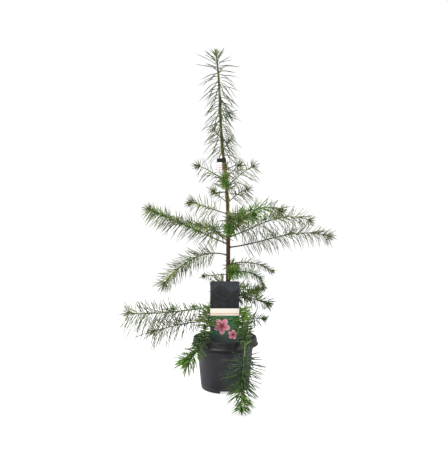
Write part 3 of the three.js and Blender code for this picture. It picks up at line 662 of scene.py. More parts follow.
def group_tree(name, inputs, outputs):
    """An empty shader group with named sockets, and its input and output nodes."""
    tree = bpy.data.node_groups.new(name, "ShaderNodeTree")
    for socket, kind, value in inputs:
        made = tree.interface.new_socket(socket, in_out="INPUT", socket_type=kind)
        made.default_value = value
    for socket, kind in outputs:
        tree.interface.new_socket(socket, in_out="OUTPUT", socket_type=kind)
    return tree, tree.nodes.new("NodeGroupInput").outputs, tree.nodes.new("NodeGroupOutput").inputs


def mottle_group():
    """Two colours in soft patches, which may be drawn out along the height."""
    tree, given, result = group_tree(
        "mottle",
        [
            ("Dark", "NodeSocketColor", (0, 0, 0, 1)),
            ("Light", "NodeSocketColor", (1, 1, 1, 1)),
            ("Scale", "NodeSocketFloat", 100.0),
            ("Squash", "NodeSocketFloat", 1.0),
            ("Contrast", "NodeSocketFloat", 0.2),
        ],
        [("Color", "NodeSocketColor"), ("Mask", "NodeSocketFloat")],
    )
    place = stretched_place(tree, given["Squash"])
    patches = node(tree, "ShaderNodeTexNoise", {"Vector": place, "Scale": given["Scale"], "Detail": 5.0})
    low = math_node(tree, "SUBTRACT", 0.5, given["Contrast"])
    high = math_node(tree, "ADD", 0.5, given["Contrast"])
    mask = spread(tree, patches.outputs["Fac"], low, high)
    tree.links.new(mask, result["Mask"])
    tree.links.new(mix_colours(tree, mask, given["Dark"], given["Light"]), result["Color"])
    return tree


def relief_group():
    """The height of a fine surface: grain that may be drawn out along the height, with small pits in it."""
    tree, given, result = group_tree(
        "relief",
        [
            ("Scale", "NodeSocketFloat", 500.0),
            ("Squash", "NodeSocketFloat", 1.0),
            ("Pits", "NodeSocketFloat", 0.3),
        ],
        [("Height", "NodeSocketFloat")],
    )
    place = stretched_place(tree, given["Squash"])
    grain = node(tree, "ShaderNodeTexNoise", {"Vector": place, "Scale": given["Scale"], "Detail": 3.0})
    cells = node(tree, "ShaderNodeTexVoronoi", {"Vector": place, "Scale": given["Scale"]})
    pits = math_node(tree, "MULTIPLY", cells.outputs["Distance"], given["Pits"])
    tree.links.new(math_node(tree, "SUBTRACT", grain.outputs["Fac"], pits), result["Height"])
    return tree


def dust_group():
    """A mask of fine dust: more on what faces up, and in loose patches."""
    tree, given, result = group_tree(
        "dust",
        [("Amount", "NodeSocketFloat", 0.3), ("Scale", "NodeSocketFloat", 60.0)],
        [("Mask", "NodeSocketFloat")],
    )
    facing = parts_of(tree, node(tree, "ShaderNodeNewGeometry").outputs["Normal"])
    upward = spread(tree, facing["Z"], -0.2, 1.0, 0.25, 1.0)
    values = {"Vector": object_place(tree), "Scale": given["Scale"], "Detail": 6.0}
    patches = node(tree, "ShaderNodeTexNoise", values)
    loose = spread(tree, patches.outputs["Fac"], 0.42, 0.68)
    mask = math_node(tree, "MULTIPLY", math_node(tree, "MULTIPLY", upward, loose), given["Amount"])
    tree.links.new(mask, result["Mask"])
    return tree


GROUPS = {"mottle": mottle_group(), "relief": relief_group(), "dust": dust_group()}


def placed(tree, name, values):
    return node(tree, "ShaderNodeGroup", values, node_tree=GROUPS[name]).outputs


def mottled(tree, dark, light, scale, contrast, squash=1.0):
    values = {"Dark": dark, "Light": light, "Scale": scale, "Contrast": contrast, "Squash": squash}
    return placed(tree, "mottle", values)


def dusty(tree, amount, scale):
    return placed(tree, "dust", {"Amount": amount, "Scale": scale})["Mask"]


def new_material(name, colour, roughness, specular=0.5):
    """A material with its shader, and the shader's node tree."""
    made = bpy.data.materials.new(name)
    made.use_nodes = True
    made.diffuse_color = colour
    shader = made.node_tree.nodes["Principled BSDF"]
    shader.inputs["Base Color"].default_value = colour
    shader.inputs["Roughness"].default_value = roughness
    shader.inputs["Specular IOR Level"].default_value = specular
    return made, made.node_tree, shader


def add_relief(tree, shader, strength, distance, scale, pits, squash=1.0):
    """A fine surface of grain and pits, distance metres high, of which strength is the share that shows."""
    height = placed(tree, "relief", {"Scale": scale, "Squash": squash, "Pits": pits})["Height"]
    made = node(tree, "ShaderNodeBump", {"Height": height, "Strength": strength, "Distance": distance})
    tree.links.new(made.outputs["Normal"], shader.inputs["Normal"])


def needle_material(name, dark, light):
    made, tree, shader = new_material(name, light, roughness=0.5, specular=0.35)
    tone = mottled(tree, dark, light, scale=160.0, contrast=0.22)
    tree.links.new(tone["Color"], shader.inputs["Base Color"])
    tree.links.new(spread(tree, tone["Mask"], 0.0, 1.0, 0.58, 0.46), shader.inputs["Roughness"])
    add_relief(tree, shader, strength=0.25, distance=0.0003, scale=900.0, pits=0.2, squash=0.4)
    return made


def trunk_material():
    """Straw and olive bark, red-brown where the lower whorls leave it and green on the leading shoot."""
    made, tree, shader = new_material("trunk_bark", srgb(120, 104, 66), roughness=0.8, specular=0.3)
    height = parts_of(tree, object_place(tree))["Z"]
    straw = mottled(tree, srgb(44, 38, 14), srgb(122, 106, 50), 240.0, contrast=0.2, squash=0.25)["Color"]
    brown = mottled(tree, srgb(16, 8, 3), srgb(80, 48, 22), 300.0, contrast=0.2, squash=0.3)["Color"]
    green = mottled(tree, srgb(44, 50, 20), srgb(96, 104, 50), 260.0, contrast=0.25, squash=0.2)["Color"]
    old = math_node(tree, "SUBTRACT", 1.0, spread(tree, height, *BROWN_END))
    colour = mix_colours(tree, old, straw, brown)
    colour = mix_colours(tree, spread(tree, height, *GREEN_START), colour, green)
    flakes = mottled(tree, (0, 0, 0, 1), (1, 1, 1, 1), scale=700.0, contrast=0.12, squash=0.35)["Mask"]
    share = math_node(tree, "MULTIPLY", flakes, 0.35)
    tree.links.new(mix_colours(tree, share, colour, srgb(60, 44, 28)), shader.inputs["Base Color"])
    add_relief(tree, shader, strength=0.6, distance=0.0005, scale=800.0, pits=0.5, squash=0.3)
    return made


def twig_material(name, dark, light):
    made, tree, shader = new_material(name, light, roughness=0.7, specular=0.3)
    tone = mottled(tree, dark, light, scale=180.0, contrast=0.22)
    tree.links.new(tone["Color"], shader.inputs["Base Color"])
    add_relief(tree, shader, strength=0.5, distance=0.0003, scale=1100.0, pits=0.4)
    return made


def plastic_material(name, dark, light, roughness, dust, collar=None):
    """A dull, dusty plastic. collar gives the height from which the collar is painted near black as shade,
    and the height of the painted shadow under it.
    """
    made, tree, shader = new_material(name, light, roughness, specular=0.33)
    body = mottled(tree, dark, light, scale=30.0, contrast=0.3)["Color"]
    if collar:
        foot, shade = collar
        height = parts_of(tree, object_place(tree))["Z"]
        # Painted shade: the collar, its beaded foot and everything higher are painted near black.
        body = mix_colours(tree, spread(tree, height, foot, foot + 0.002), body, srgb(12, 12, 14))
        # Painted shadow: a near-black band on the wall just under the collar's skirt.
        under = math_node(tree, "MULTIPLY", near_mask(tree, height, shade, 0.006, 0.004), 0.8)
        body = mix_colours(tree, under, body, srgb(5, 5, 6))
    mask = dusty(tree, dust, 70.0)
    tree.links.new(mix_colours(tree, mask, body, srgb(122, 112, 110)), shader.inputs["Base Color"])
    tree.links.new(math_node(tree, "MULTIPLY_ADD", mask, 0.4, roughness), shader.inputs["Roughness"])
    add_relief(tree, shader, strength=0.12, distance=0.0002, scale=1500.0, pits=0.2)
    return made


def soil_material():
    made, tree, shader = new_material("soil", srgb(40, 30, 24), roughness=0.95, specular=0.2)
    tone = mottled(tree, srgb(20, 15, 12), srgb(66, 50, 38), scale=320.0, contrast=0.25)
    tree.links.new(tone["Color"], shader.inputs["Base Color"])
    add_relief(tree, shader, strength=0.8, distance=0.001, scale=600.0, pits=0.6)
    return made


def petal_mask(tree, x, z, centre, size, turn):
    """A flower seen from the front: 1 inside its petals, and how far out a place lies by their reach."""
    dx = math_node(tree, "SUBTRACT", x, centre[0])
    dz = math_node(tree, "SUBTRACT", z, centre[1])
    squares = [math_node(tree, "MULTIPLY", way, way) for way in (dx, dz)]
    away = math_node(tree, "SQRT", math_node(tree, "ADD", *squares))
    angle = math_node(tree, "ADD", math_node(tree, "ARCTAN2", dz, dx), turn)
    wave = math_node(tree, "COSINE", math_node(tree, "MULTIPLY", angle, PETALS / 2))
    lobe = math_node(tree, "POWER", math_node(tree, "ABSOLUTE", wave), 0.6)
    edge = math_node(tree, "MULTIPLY_ADD", lobe, 0.62, 0.38)
    reach = math_node(tree, "DIVIDE", math_node(tree, "DIVIDE", away, size), edge)
    return spread(tree, reach, 1.04, 0.96), reach


def hill_panel(tree, x, z):
    """The card's upper panel: a night sky and ranges of hills, each a little darker than the last."""
    colour = mix_colours(tree, spread(tree, z, 0.25, 0.31), srgb(52, 60, 68), srgb(38, 43, 49))
    for level, swing, wave, shade in HILLS:
        line = math_node(tree, "SINE", math_node(tree, "MULTIPLY_ADD", x, wave, wave * 0.03))
        line = math_node(tree, "MULTIPLY_ADD", line, swing, level)
        below = spread(tree, math_node(tree, "SUBTRACT", line, z), -0.0003, 0.0003)
        colour = mix_colours(tree, below, colour, srgb(shade, shade + 3, shade + 7))
    return colour


def blossom_panel(tree, place, x, z):
    """The card's lower panel: leaves in two greens, with blossoms on them."""
    cells = node(tree, "ShaderNodeTexVoronoi", {"Vector": place, "Scale": 150.0, "Randomness": 0.9})
    leaf = spread(tree, cells.outputs["Distance"], 0.15, 0.6)
    colour = mix_colours(tree, leaf, srgb(92, 140, 66), srgb(34, 74, 46))
    shade = node(tree, "ShaderNodeTexNoise", {"Vector": place, "Scale": 45.0, "Detail": 3.0}).outputs["Fac"]
    colour = mix_colours(tree, spread(tree, shade, 0.4, 0.6), colour, srgb(44, 92, 70))
    colour = mix_colours(tree, spread(tree, z, 0.172, 0.150), colour, srgb(60, 72, 68))
    for centre, size, turn in BLOSSOMS:
        inside, reach = petal_mask(tree, x, z, centre, size, turn)
        petal = mix_colours(tree, spread(tree, reach, 0.15, 1.0), srgb(150, 62, 74), srgb(224, 150, 168))
        petal = mix_colours(tree, spread(tree, reach, 0.34, 0.26), petal, srgb(118, 30, 34))
        colour = mix_colours(tree, inside, colour, petal)
    return colour


def card_material():
    """The card's front: hills over a pale band, and blossoms under it."""
    made, tree, shader = new_material("card_print", srgb(58, 60, 64), roughness=0.38, specular=0.4)
    place = object_place(tree)
    parts = parts_of(tree, place)
    x, z = parts["X"], parts["Z"]
    foot, top = CARD_BAND
    under = spread(tree, z, foot + 0.0002, foot - 0.0002)
    band = math_node(tree, "SUBTRACT", spread(tree, z, top + 0.0002, top - 0.0002), under)
    stripe = near_mask(tree, z, foot + 0.005, 0.0018, 0.0014)
    cream = mix_colours(tree, stripe, srgb(232, 226, 214), srgb(220, 178, 154))
    colour = mix_colours(tree, under, hill_panel(tree, x, z), blossom_panel(tree, place, x, z))
    colour = mix_colours(tree, band, colour, cream)
    scuffs = dusty(tree, 0.12, 90.0)
    tree.links.new(mix_colours(tree, scuffs, colour, srgb(142, 144, 146)), shader.inputs["Base Color"])
    tree.links.new(math_node(tree, "MULTIPLY_ADD", scuffs, 0.9, 0.34), shader.inputs["Roughness"])
    add_relief(tree, shader, strength=0.06, distance=0.0002, scale=900.0, pits=0.1)
    return made


def tag_material():
    """A pale tag with faint rosy bars and nothing to read on it."""
    made, tree, shader = new_material("tag_print", srgb(238, 234, 232), roughness=0.45)
    z = parts_of(tree, object_place(tree))["Z"]
    rows = math_node(tree, "SINE", math_node(tree, "MULTIPLY", z, 900.0))
    inside = near_mask(tree, z, (TAG_LOW.z + TAG_HIGH.z) / 2, 0.012, 0.010)
    bars = math_node(tree, "MULTIPLY", spread(tree, rows, 0.2, 0.5), inside)
    paper = mottled(tree, srgb(226, 217, 221), srgb(240, 234, 236), scale=90.0, contrast=0.2)["Color"]
    tree.links.new(mix_colours(tree, bars, paper, srgb(222, 186, 192)), shader.inputs["Base Color"])
    add_relief(tree, shader, strength=0.05, distance=0.0002, scale=1200.0, pits=0.1)
    return made


TONES = {
    "fresh": needle_material("needles_fresh", srgb(60, 102, 26), srgb(104, 146, 52)),
    "leaf": needle_material("needles_leaf", srgb(64, 82, 34), srgb(106, 122, 64)),
    "moss": needle_material("needles_moss", srgb(92, 106, 52), srgb(138, 152, 88)),
    "olive": needle_material("needles_olive", srgb(76, 78, 50), srgb(120, 120, 84)),
    "grey": needle_material("needles_grey", srgb(70, 82, 50), srgb(114, 126, 86)),
    "deep": needle_material("needles_deep", srgb(30, 54, 22), srgb(62, 92, 44)),
    "dusty": needle_material("needles_dusty", srgb(48, 68, 46), srgb(80, 100, 74)),
    "young": needle_material("needles_young", srgb(130, 160, 80), srgb(178, 200, 122)),
    "pale": needle_material("needles_pale", srgb(118, 134, 68), srgb(162, 176, 106)),
}
WOOD = {
    "trunk": trunk_material(),
    "cushion": twig_material("cushion_bark", srgb(72, 80, 36), srgb(124, 132, 70)),
    "bough": twig_material("bough_bark", srgb(46, 40, 22), srgb(92, 80, 46)),
    "twig": twig_material("twig_bark", srgb(48, 56, 24), srgb(92, 98, 48)),
    "young": twig_material("young_bark", srgb(56, 80, 32), srgb(104, 128, 66)),
    "bud": twig_material("bud_scales", srgb(70, 44, 24), srgb(126, 86, 48)),
}


# Trunk


def trunk_x(z):
    """The trunk's sideways place at a height: a smooth curve through the lean's points."""
    last = len(LEAN) - 1
    i = next((k for k in range(last) if LEAN[k + 1][0] >= z), last - 1)

    def slope(k):
        low, high = LEAN[max(0, k - 1)], LEAN[min(last, k + 1)]
        return (high[1] - low[1]) / (high[0] - low[0])

    span = LEAN[i + 1][0] - LEAN[i][0]
    t = (z - LEAN[i][0]) / span
    start = (2 * t**3 - 3 * t**2 + 1) * LEAN[i][1] + (t**3 - 2 * t**2 + t) * span * slope(i)
    return start + (3 * t**2 - 2 * t**3) * LEAN[i + 1][1] + (t**3 - t**2) * span * slope(i + 1)


def trunk_centre(z):
    return Vector((trunk_x(z), 0, z))


def trunk_radius(z):
    share = clamp((z - FOOT) / (TIP - FOOT))
    taper = TRUNK["point"] + (TRUNK["base"] - TRUNK["point"]) * (1 - share) ** TRUNK["taper"]
    return taper / 2 + TRUNK["flare"] * math.exp((FOOT - z) / TRUNK["flare_depth"])


def bark_relief(place, radius):
    """Bark that stands in flaky ridges along the trunk, and gets smoother as the trunk gets thinner."""
    deep = clamp(radius / BARK["thick"], BARK["least"], BARK["most"]) * BARK["depth"]

    def swell(across, along):
        return noise.noise(Vector((place.x * across, place.y * across, place.z * along)))

    ridges, flakes = swell(*BARK["ridges"]), swell(*BARK["flakes"])
    return deep * (BARK["ridge_share"] * ridges + BARK["flake_share"] * flakes)


def make_trunk():
    solid = Solid()
    count = round((TIP - FOOT) / TRUNK_STEP)
    heights = [FOOT + (TIP - FOOT) * i / count for i in range(count + 1)]

    def radius(i):
        over, under = heights[i] - LEADER_BOTTOM, TIP - heights[i]
        cushioned = clamp(over / CUSHIONED_OVER) * clamp(under / CUSHIONED_UNDER)
        return trunk_radius(heights[i]) + CUSHIONED * cushioned

    add_tube(solid, [trunk_centre(z) for z in heights], radius, TRUNK_SIDES, bark_relief)
    add_scars(solid, seeded(SEEDS["scars"]))
    return finished(solid.piece("trunk_bark", WOOD["trunk"]), "bark", "trunk")


def add_scars(solid, draw):
    """The scars and small dormant buds of older needles, a golden turn apart on the bare trunk."""
    z = FOOT + SCAR["first"]
    turn = 0.0
    while z < LEADER_BOTTOM:
        out = level_way(turn)
        root = trunk_centre(z) + out * (trunk_radius(z) - SCAR["sunk"])
        along = (out + UP * SCAR["rise"]).normalized()
        add_bud(solid, root, along, varied(draw, *SCAR["length"]), SCAR["radius"])
        z += varied(draw, *SCAR["apart"])
        turn += GOLDEN_TURN


def add_bud(solid, root, direction, length, radius, sides=6):
    """A small egg-shaped bud or scar."""
    shares = [0.0, 0.25, 0.55, 0.8, 1.0]
    girths = [0.75, 1.0, 0.85, 0.5, 0.12]
    points = [root + direction * length * share for share in shares]
    add_tube(solid, points, lambda i: radius * girths[i], sides)


def add_tip_bud(solid, tip, along, depth, length, radius, sides):
    """A bud that sits a little way down over the tip of a stem."""
    add_bud(solid, tip - along * depth, along, length, radius, sides)


# Limbs


class Stem:
    """The centre line of a shoot or twig, its thickness, and the share from which needles stand on it."""

    def __init__(self, points, length, bare, tones, full=1.0, twig=False):
        self.points = points
        self.length = length
        self.bare = bare
        self.tones = tones
        self.full = full
        self.twig = twig

    def at(self, share):
        """The place at a share of the line, and the way that the line runs there."""
        place = clamp(share) * (len(self.points) - 1)
        i = min(int(place), len(self.points) - 2)
        start, end = self.points[i], self.points[i + 1]
        return start.lerp(end, place - i), (end - start).normalized()

    def tone(self, share):
        return self.tones[min(int(share * len(self.tones)), len(self.tones) - 1)]

    def radius(self, share):
        base = STEM_ROOT + self.length / STEM_SLENDER
        return base + (STEM_TIP - base) * share

    def part(self, low, high, step):
        """Shares from low to high that stand about a step apart."""
        count = max(3, round((high - low) * self.length / step) + 1)
        return [low + (high - low) * i / (count - 1) for i in range(count)]


def course_of(shoot):
    """The centre line of a shoot, stepped out from the trunk's axis."""
    point = trunk_centre(shoot.height)
    points = [point.copy()]
    step = shoot.length / COURSE_STEPS
    for i in range(COURSE_STEPS):
        share = (i + 0.5) / COURSE_STEPS
        heading = math.radians(blend(shoot.heading, share))
        rise = math.radians(blend(shoot.rise, share))
        level = math.cos(rise)
        point = point + Vector((level * math.cos(heading), level * math.sin(heading), math.sin(rise))) * step
        points.append(point)
    return points


def twigs_of(stem, from_share, draw):
    """Short side twigs of a long shoot, to both sides of it in turn."""
    count = int((1 - from_share) * stem.length / TWIG["every"])
    steps = TWIG["steps"]
    twigs = []
    for i in range(count):
        place = i + TWIG["first"] + TWIG["shift"] * draw()
        share = from_share + (1 - from_share) * place / (count + TWIG["over"])
        root, along = stem.at(share)
        side = UP.cross(along).normalized() * (-1 if i % 2 else 1)
        direction = turned(along, side, math.radians(TWIG["lean"] + TWIG["vary"] * draw()))
        direction.z += TWIG["rise"] * draw()
        length = TWIG["length"] * varied(draw, *LENGTHS["twig"])
        direction.normalize()
        bend = (direction + UP * TWIG["bend"]).normalized()
        points = [root + direction.lerp(bend, k / steps) * length * k / steps for k in range(steps + 1)]
        if all(clear_of_made(p) for p in points):
            tone = stem.tone(share)
            twigs.append(Stem(points, length, TWIG["bare"], (tone, tone), TWIG["full"], True))
    return twigs


# Needles


def clear_of_made(point, room=CLEARANCE):
    """Whether a point lies clear of the floor, the pot, the soil, the card, the tag and its clip."""
    if point.z < LOWEST:
        return False
    away = math.hypot(point.x, point.y)
    over_rim = point.z > POT_HIGH.z + room
    outside = away > POT_HIGH.x + room
    over_soil = away < POT["neck"][0] - POT["wall"] - 2 * room and point.z > SOIL_TOP + 2 * room
    if not (over_rim or outside or over_soil):
        return False
    for low, high in ((CARD_LOW, CARD_HIGH), (TAG_LOW, TAG_HIGH), (CLIP_LOW, CLIP_HIGH)):
        if all(low[k] - room < point[k] < high[k] + room for k in range(3)):
            return False
    before_card = point.y < CARD_LOW.y and CARD_LOW.x < point.x < CARD_HIGH.x
    return not (before_card and CARD_BAND[0] < point.z < CARD_HIGH.z - CARD_EDGE)


def clear_of_trunk(point):
    if point.z > TIP or point.z < FOOT:
        return True
    away = math.hypot(point.x - trunk_x(point.z), point.y)
    return away > trunk_radius(point.z) + TRUNK_CLEARANCE


class Needles:
    """The needles of all sprays, gathered by tone."""

    def __init__(self):
        self.lines = {tone: [] for tone in TONES}
        self.sides = {tone: [] for tone in TONES}
        self.widths = {tone: [] for tone in TONES}

    def grow(self, needle):
        """Adds one needle if it is clear of what is made, and tells whether it did."""
        step = needle.length / NEEDLE_STEPS
        points = [needle.root]
        way = needle.direction
        for bend in BEND:
            way = (way - UP * needle.droop * bend).normalized()
            points.append(points[-1] + way * step)
        if not all(clear_of_made(p) for p in points[1:]):
            return False
        if not all(clear_of_trunk(p) for p in points[2:]):
            return False
        side = needle.along.cross(needle.direction)
        if side.length < 1e-4:
            side = needle.direction.orthogonal()
        self.lines[needle.tone].append([tuple(p) for p in points])
        self.sides[needle.tone].append(tuple(side.normalized()))
        self.widths[needle.tone].append(needle.width)
        return True

    def pieces(self):
        for tone, lines in self.lines.items():
            if lines:
                yield blades(f"needles_{tone}", lines, self.sides[tone], self.widths[tone], TONES[tone])


def blade_faces():
    """The faces of one needle, which has rings of four points and a pointed end."""
    faces = [(3, 2, 1, 0)]
    for start in range(0, (NEEDLE_STEPS - 1) * 4, 4):
        for k in range(4):
            a, b = start + k, start + (k + 1) % 4
            faces.append((a, b, b + 4, a + 4))
    tip = NEEDLE_STEPS * 4
    faces.extend((tip - 4 + k, tip - 4 + (k + 1) % 4, tip) for k in range(4))
    return faces


def blades(name, lines, sides, widths, material):
    """One mesh of all the needles of a tone. A needle is flat, with a keel below, and ends in a point."""
    line = np.array(lines)
    side = np.array(sides)[:, None, :]
    profile = np.array(BLADE_PROFILE)[None, :, None]
    width = np.array(widths)[:, None, None] * BLADE_WIDTH / 2 * profile
    thick = BLADE_THICK / 2 * profile
    way = np.gradient(line, axis=1)[:, :-1]
    way /= np.linalg.norm(way, axis=2, keepdims=True)
    normal = np.cross(side, way)
    normal /= np.linalg.norm(normal, axis=2, keepdims=True)
    centre = line[:, :-1]
    back, keel = normal * thick * BLADE_BACK, normal * thick * BLADE_KEEL
    ring = np.stack([centre + side * width, centre + back, centre - side * width, centre - keel], axis=2)
    count = len(lines)
    points = np.concatenate([ring.reshape(count, -1, 3), line[:, -1:]], axis=1)
    starts = range(0, count * points.shape[1], points.shape[1])
    one = blade_faces()
    faces = [tuple(start + k for k in face) for start in starts for face in one]
    mesh = bpy.data.meshes.new(name)
    mesh.from_pydata(points.reshape(-1, 3).tolist(), [], faces)
    return piece_of(name, mesh, material)


def across_of(along):
    """Two directions across a line."""
    across = along.cross(Vector((1, 0, 0)) if abs(along.z) > 0.95 else UP).normalized()
    return across, along.cross(across)


class Plant:
    """What all the shoots are made of, gathered for a few joined pieces."""

    def __init__(self):
        self.needles = Needles()
        self.cushions = Solid()
        self.twigs = Solid()
        self.young_twigs = Solid()
        self.buds = Solid()


def neighbour_tone(tone, draw):
    """Mostly the spray's own tone, now and then one of the two next to it."""
    share = draw()
    near, rare = NEAR_TONES[tone]
    if share < SELDOM:
        return rare
    return near if share < AT_TIMES else tone


def grow_spray(plant, stem, habit, draw, needle=1.0, crowd=0.88, thin=(0, 0), tuft=1.0):
    """The needles of one stem: strands a golden turn apart, leaning more to its tip, and a tuft there."""
    start = stem.bare + SPRAY["first"] / stem.length
    room = SPRAY["last"] - start
    count = max(4, round(room * stem.length * stem.full / habit.spacing))
    full = habit.length * (SPRAY["on_twig"] if stem.twig else 1.0)
    for i in range(count):
        along_share = ((i + 0.5) / count) ** crowd
        share = start + room * along_share
        if thin[0] < share < thin[1] and draw() < SPRAY["lost"]:
            continue
        lean = math.radians(between(habit.lean, along_share**2) + SPRAY["vary"] * (draw() - 0.5))
        taper = 1 - SPRAY["shorter"] * along_share**3
        length = full * between(needle, along_share) * taper * varied(draw, *LENGTHS["spray"])
        tone = neighbour_tone(stem.tone(along_share), draw)
        first_turn = i * GOLDEN_TURN + SPRAY["turn"] * draw()
        strand = Strand(share, tone, lean, length, varied(draw, *SPRAY["limp"]))
        for more in SPRAY["tries"]:
            if grow_strand(plant, stem, habit, strand, first_turn + more, draw):
                break
    grow_tuft(plant.needles, stem, habit, draw, tuft)


def grow_strand(plant, stem, habit, strand, turn, draw):
    """One strand of needles and its cushion, if its first needle has room. Tells whether it had."""
    centre, along = stem.at(strand.share)
    across, over = across_of(along)
    out = (across * math.cos(turn) + over * math.sin(turn) * habit.round).normalized()
    direction = turned(along, out, strand.lean + math.radians(habit.stand) * clamp(out.z))
    direction.z -= habit.sag
    direction.normalize()
    length = strand.length * (1 - habit.upper * clamp(SPRAY["upper"] * direction.z))
    droop = strand.limp * habit.droop * (SPRAY["level"] - SPRAY["raised"] * direction.z)
    radius = stem.radius(strand.share)
    root = centre + out * radius * ROOT_DEPTH
    first = Needle(strand.tone, root, direction, length, droop, along, habit.width)
    if not plant.needles.grow(first):
        return False
    add_cushion(plant.cushions, centre, along, out, radius)
    grow_mates(plant.needles, first, habit, draw)
    return True


def grow_mates(needles, first, habit, draw):
    """The other needles of a strand, which lie close beside its first."""
    for _ in range(habit.strand - 1):
        aside = Vector((draw() - 0.5, draw() - 0.5, draw() - 0.5)) * habit.splay
        root = first.root + first.along * (MATE["beside"] * (draw() - 0.5))
        direction = (first.direction + aside).normalized()
        droop = first.droop * (1 + habit.splay * (2 * MATE["droop"] * draw() - MATE["droop"]))
        length = first.length * varied(draw, *LENGTHS["mate"])
        needles.grow(first._replace(root=root, direction=direction, length=length, droop=droop))


def fan_of(along, across, over, count, lean):
    """The ways of a tuft's needles: a golden turn apart, leaning more from the middle one out."""
    inner, outer = lean
    for i in range(count):
        out = turned(across, over, i * GOLDEN_TURN)
        angle = math.radians(inner + (outer - inner) * math.sqrt((i + 0.5) / count))
        yield i, out, turned(along, out, angle)


def grow_tuft(needles, stem, habit, draw, size):
    """The close tuft of short needles at the tip of a stem."""
    count = round(habit.tip * (TUFT["twig_count"] if stem.twig else TUFT["count"]))
    tip, along = stem.at(1.0)
    for i, out, direction in fan_of(along, *across_of(along), count, TUFT["lean"]):
        root = tip - along * TUFT["back"] * (i / count) + out * TUFT["out"]
        length = size * TUFT["length"] * varied(draw, *LENGTHS["tuft"])
        tone = tuft_tone(stem.tones[-1], draw)
        needles.grow(Needle(tone, root, direction.normalized(), length, TUFT["droop"], along, habit.width))


def tuft_tone(tone, draw):
    return TUFT_TONES.get(tone, tone) if draw() < TUFT_OWN else "olive"


def add_cushion(solid, centre, along, out, radius):
    """The small wooden cushion under a needle, which runs down the twig from it."""
    side = along.cross(out)
    half, high, down, deep = 0.0006, 0.0008, 0.0035, 0.75
    root = centre + out * radius * deep
    top = root + along * high
    points = [top + side * half, top + out * high, top - side * half, root - along * down, top - out * half]
    solid.add(points, [(0, 1, 3), (1, 2, 3), (0, 4, 1), (1, 4, 2), (4, 0, 3), (2, 4, 3)])


def grow_spurs(needles, wood, stem, spurs, draw):
    """Short woody spurs on the older half of a shoot, each with a rosette of needles."""
    for i in range(spurs):
        share = stem.bare + (SPUR["until"] - stem.bare) * (i + SPUR["first"]) / (spurs + SPUR["over"])
        centre, along = stem.at(share)
        across, over = across_of(along)
        out = turned(across, -over, math.pi / 2 + (SPUR["turn"] * draw() - SPUR["turn"] / 2))
        if out.z < 0:
            out = -out
        root = centre + out * stem.radius(share) * SPUR["deep"]
        add_bud(wood, root, out, SPUR["foot"], SPUR["thick"])
        top = root + out * (SPUR["foot"] - SPUR["sunk"])
        for _, _, direction in fan_of(out, *across_of(out), SPUR["count"], SPUR["lean"]):
            length = SPUR["length"] * varied(draw, *LENGTHS["spur"])
            tone = "fresh" if draw() < 0.5 else "leaf"
            way = direction.normalized()
            needles.grow(Needle(tone, top, way, length, SPUR["droop"], out, SPUR["width"]))


def grow_young(needles, stem, count, draw):
    """Short bright needles close round the outer part of a shoot, which opened last."""
    for i in range(count):
        share = YOUNG["from"] + (YOUNG["to"] - YOUNG["from"]) * (i + draw()) / count
        centre, along = stem.at(share)
        out = turned(*across_of(along), i * GOLDEN_TURN)
        direction = turned(along, out, math.radians(YOUNG["lean"] + YOUNG["vary"] * (draw() - 0.5)))
        root = centre + out * stem.radius(share) * ROOT_DEPTH
        length = YOUNG["length"] * varied(draw, *LENGTHS["young"])
        tone = "young" if draw() < YOUNG["bright"] else "fresh"
        needles.grow(Needle(tone, root, direction, length, YOUNG["droop"], along, YOUNG["width"]))


def grow_leader(plant, draw):
    """The long needles of the leading shoot, which arch out and down, and the brush at its top."""
    habit = HABITS["leading"]
    past, over = LEADER["short"]
    z = LEADER_BOTTOM + LEADER["first"]
    turn = 0.0
    while z < TIP - LEADER["last"]:
        below = clamp((TIP - z) / LEADER["top"])
        rise = math.radians(LEADER["rise"] - LEADER["less"] * below + LEADER["vary"] * (draw() - 0.5))
        level = Vector((math.cos(turn), LEADER["depth"] * math.sin(turn), 0)).normalized()
        centre, radius = trunk_centre(z), trunk_radius(z)
        reach = clamp((TIP + past - z) / over, LEADER["shortest"], 1)
        length = habit.length * reach * varied(draw, *LENGTHS["leader"])
        tone = neighbour_tone("dusty" if draw() < LEADER["dusty"] else "olive", draw)
        droop = LEADER["stiff"] + LEADER["limp"] * below * varied(draw, *LEADER["limper"])
        root = centre + level * radius * ROOT_DEPTH
        first = Needle(tone, root, turned(level, UP, rise), length, droop, UP, habit.width)
        if plant.needles.grow(first):
            add_cushion(plant.cushions, centre, UP, level, radius)
            grow_mates(plant.needles, first, habit, draw)
        z += LEADER["apart"] + LEADER["wider"] * below
        turn += GOLDEN_TURN
    grow_leader_tuft(plant.needles, draw)


def grow_leader_tuft(needles, draw):
    """The upright brush of short needles at the very top."""
    tip = trunk_centre(TIP)
    count = LEADER_TUFT["count"]
    for i, _, direction in fan_of(UP, level_way(0), level_way(math.pi / 2), count, LEADER_TUFT["lean"]):
        root = tip - UP * LEADER_TUFT["back"] * i / count
        length = LEADER_TUFT["length"] * varied(draw, *LENGTHS["leader_tuft"])
        looks = LEADER_TUFT["droop"], UP, LEADER_TUFT["width"]
        needles.grow(Needle("leaf", root, direction, length, *looks))


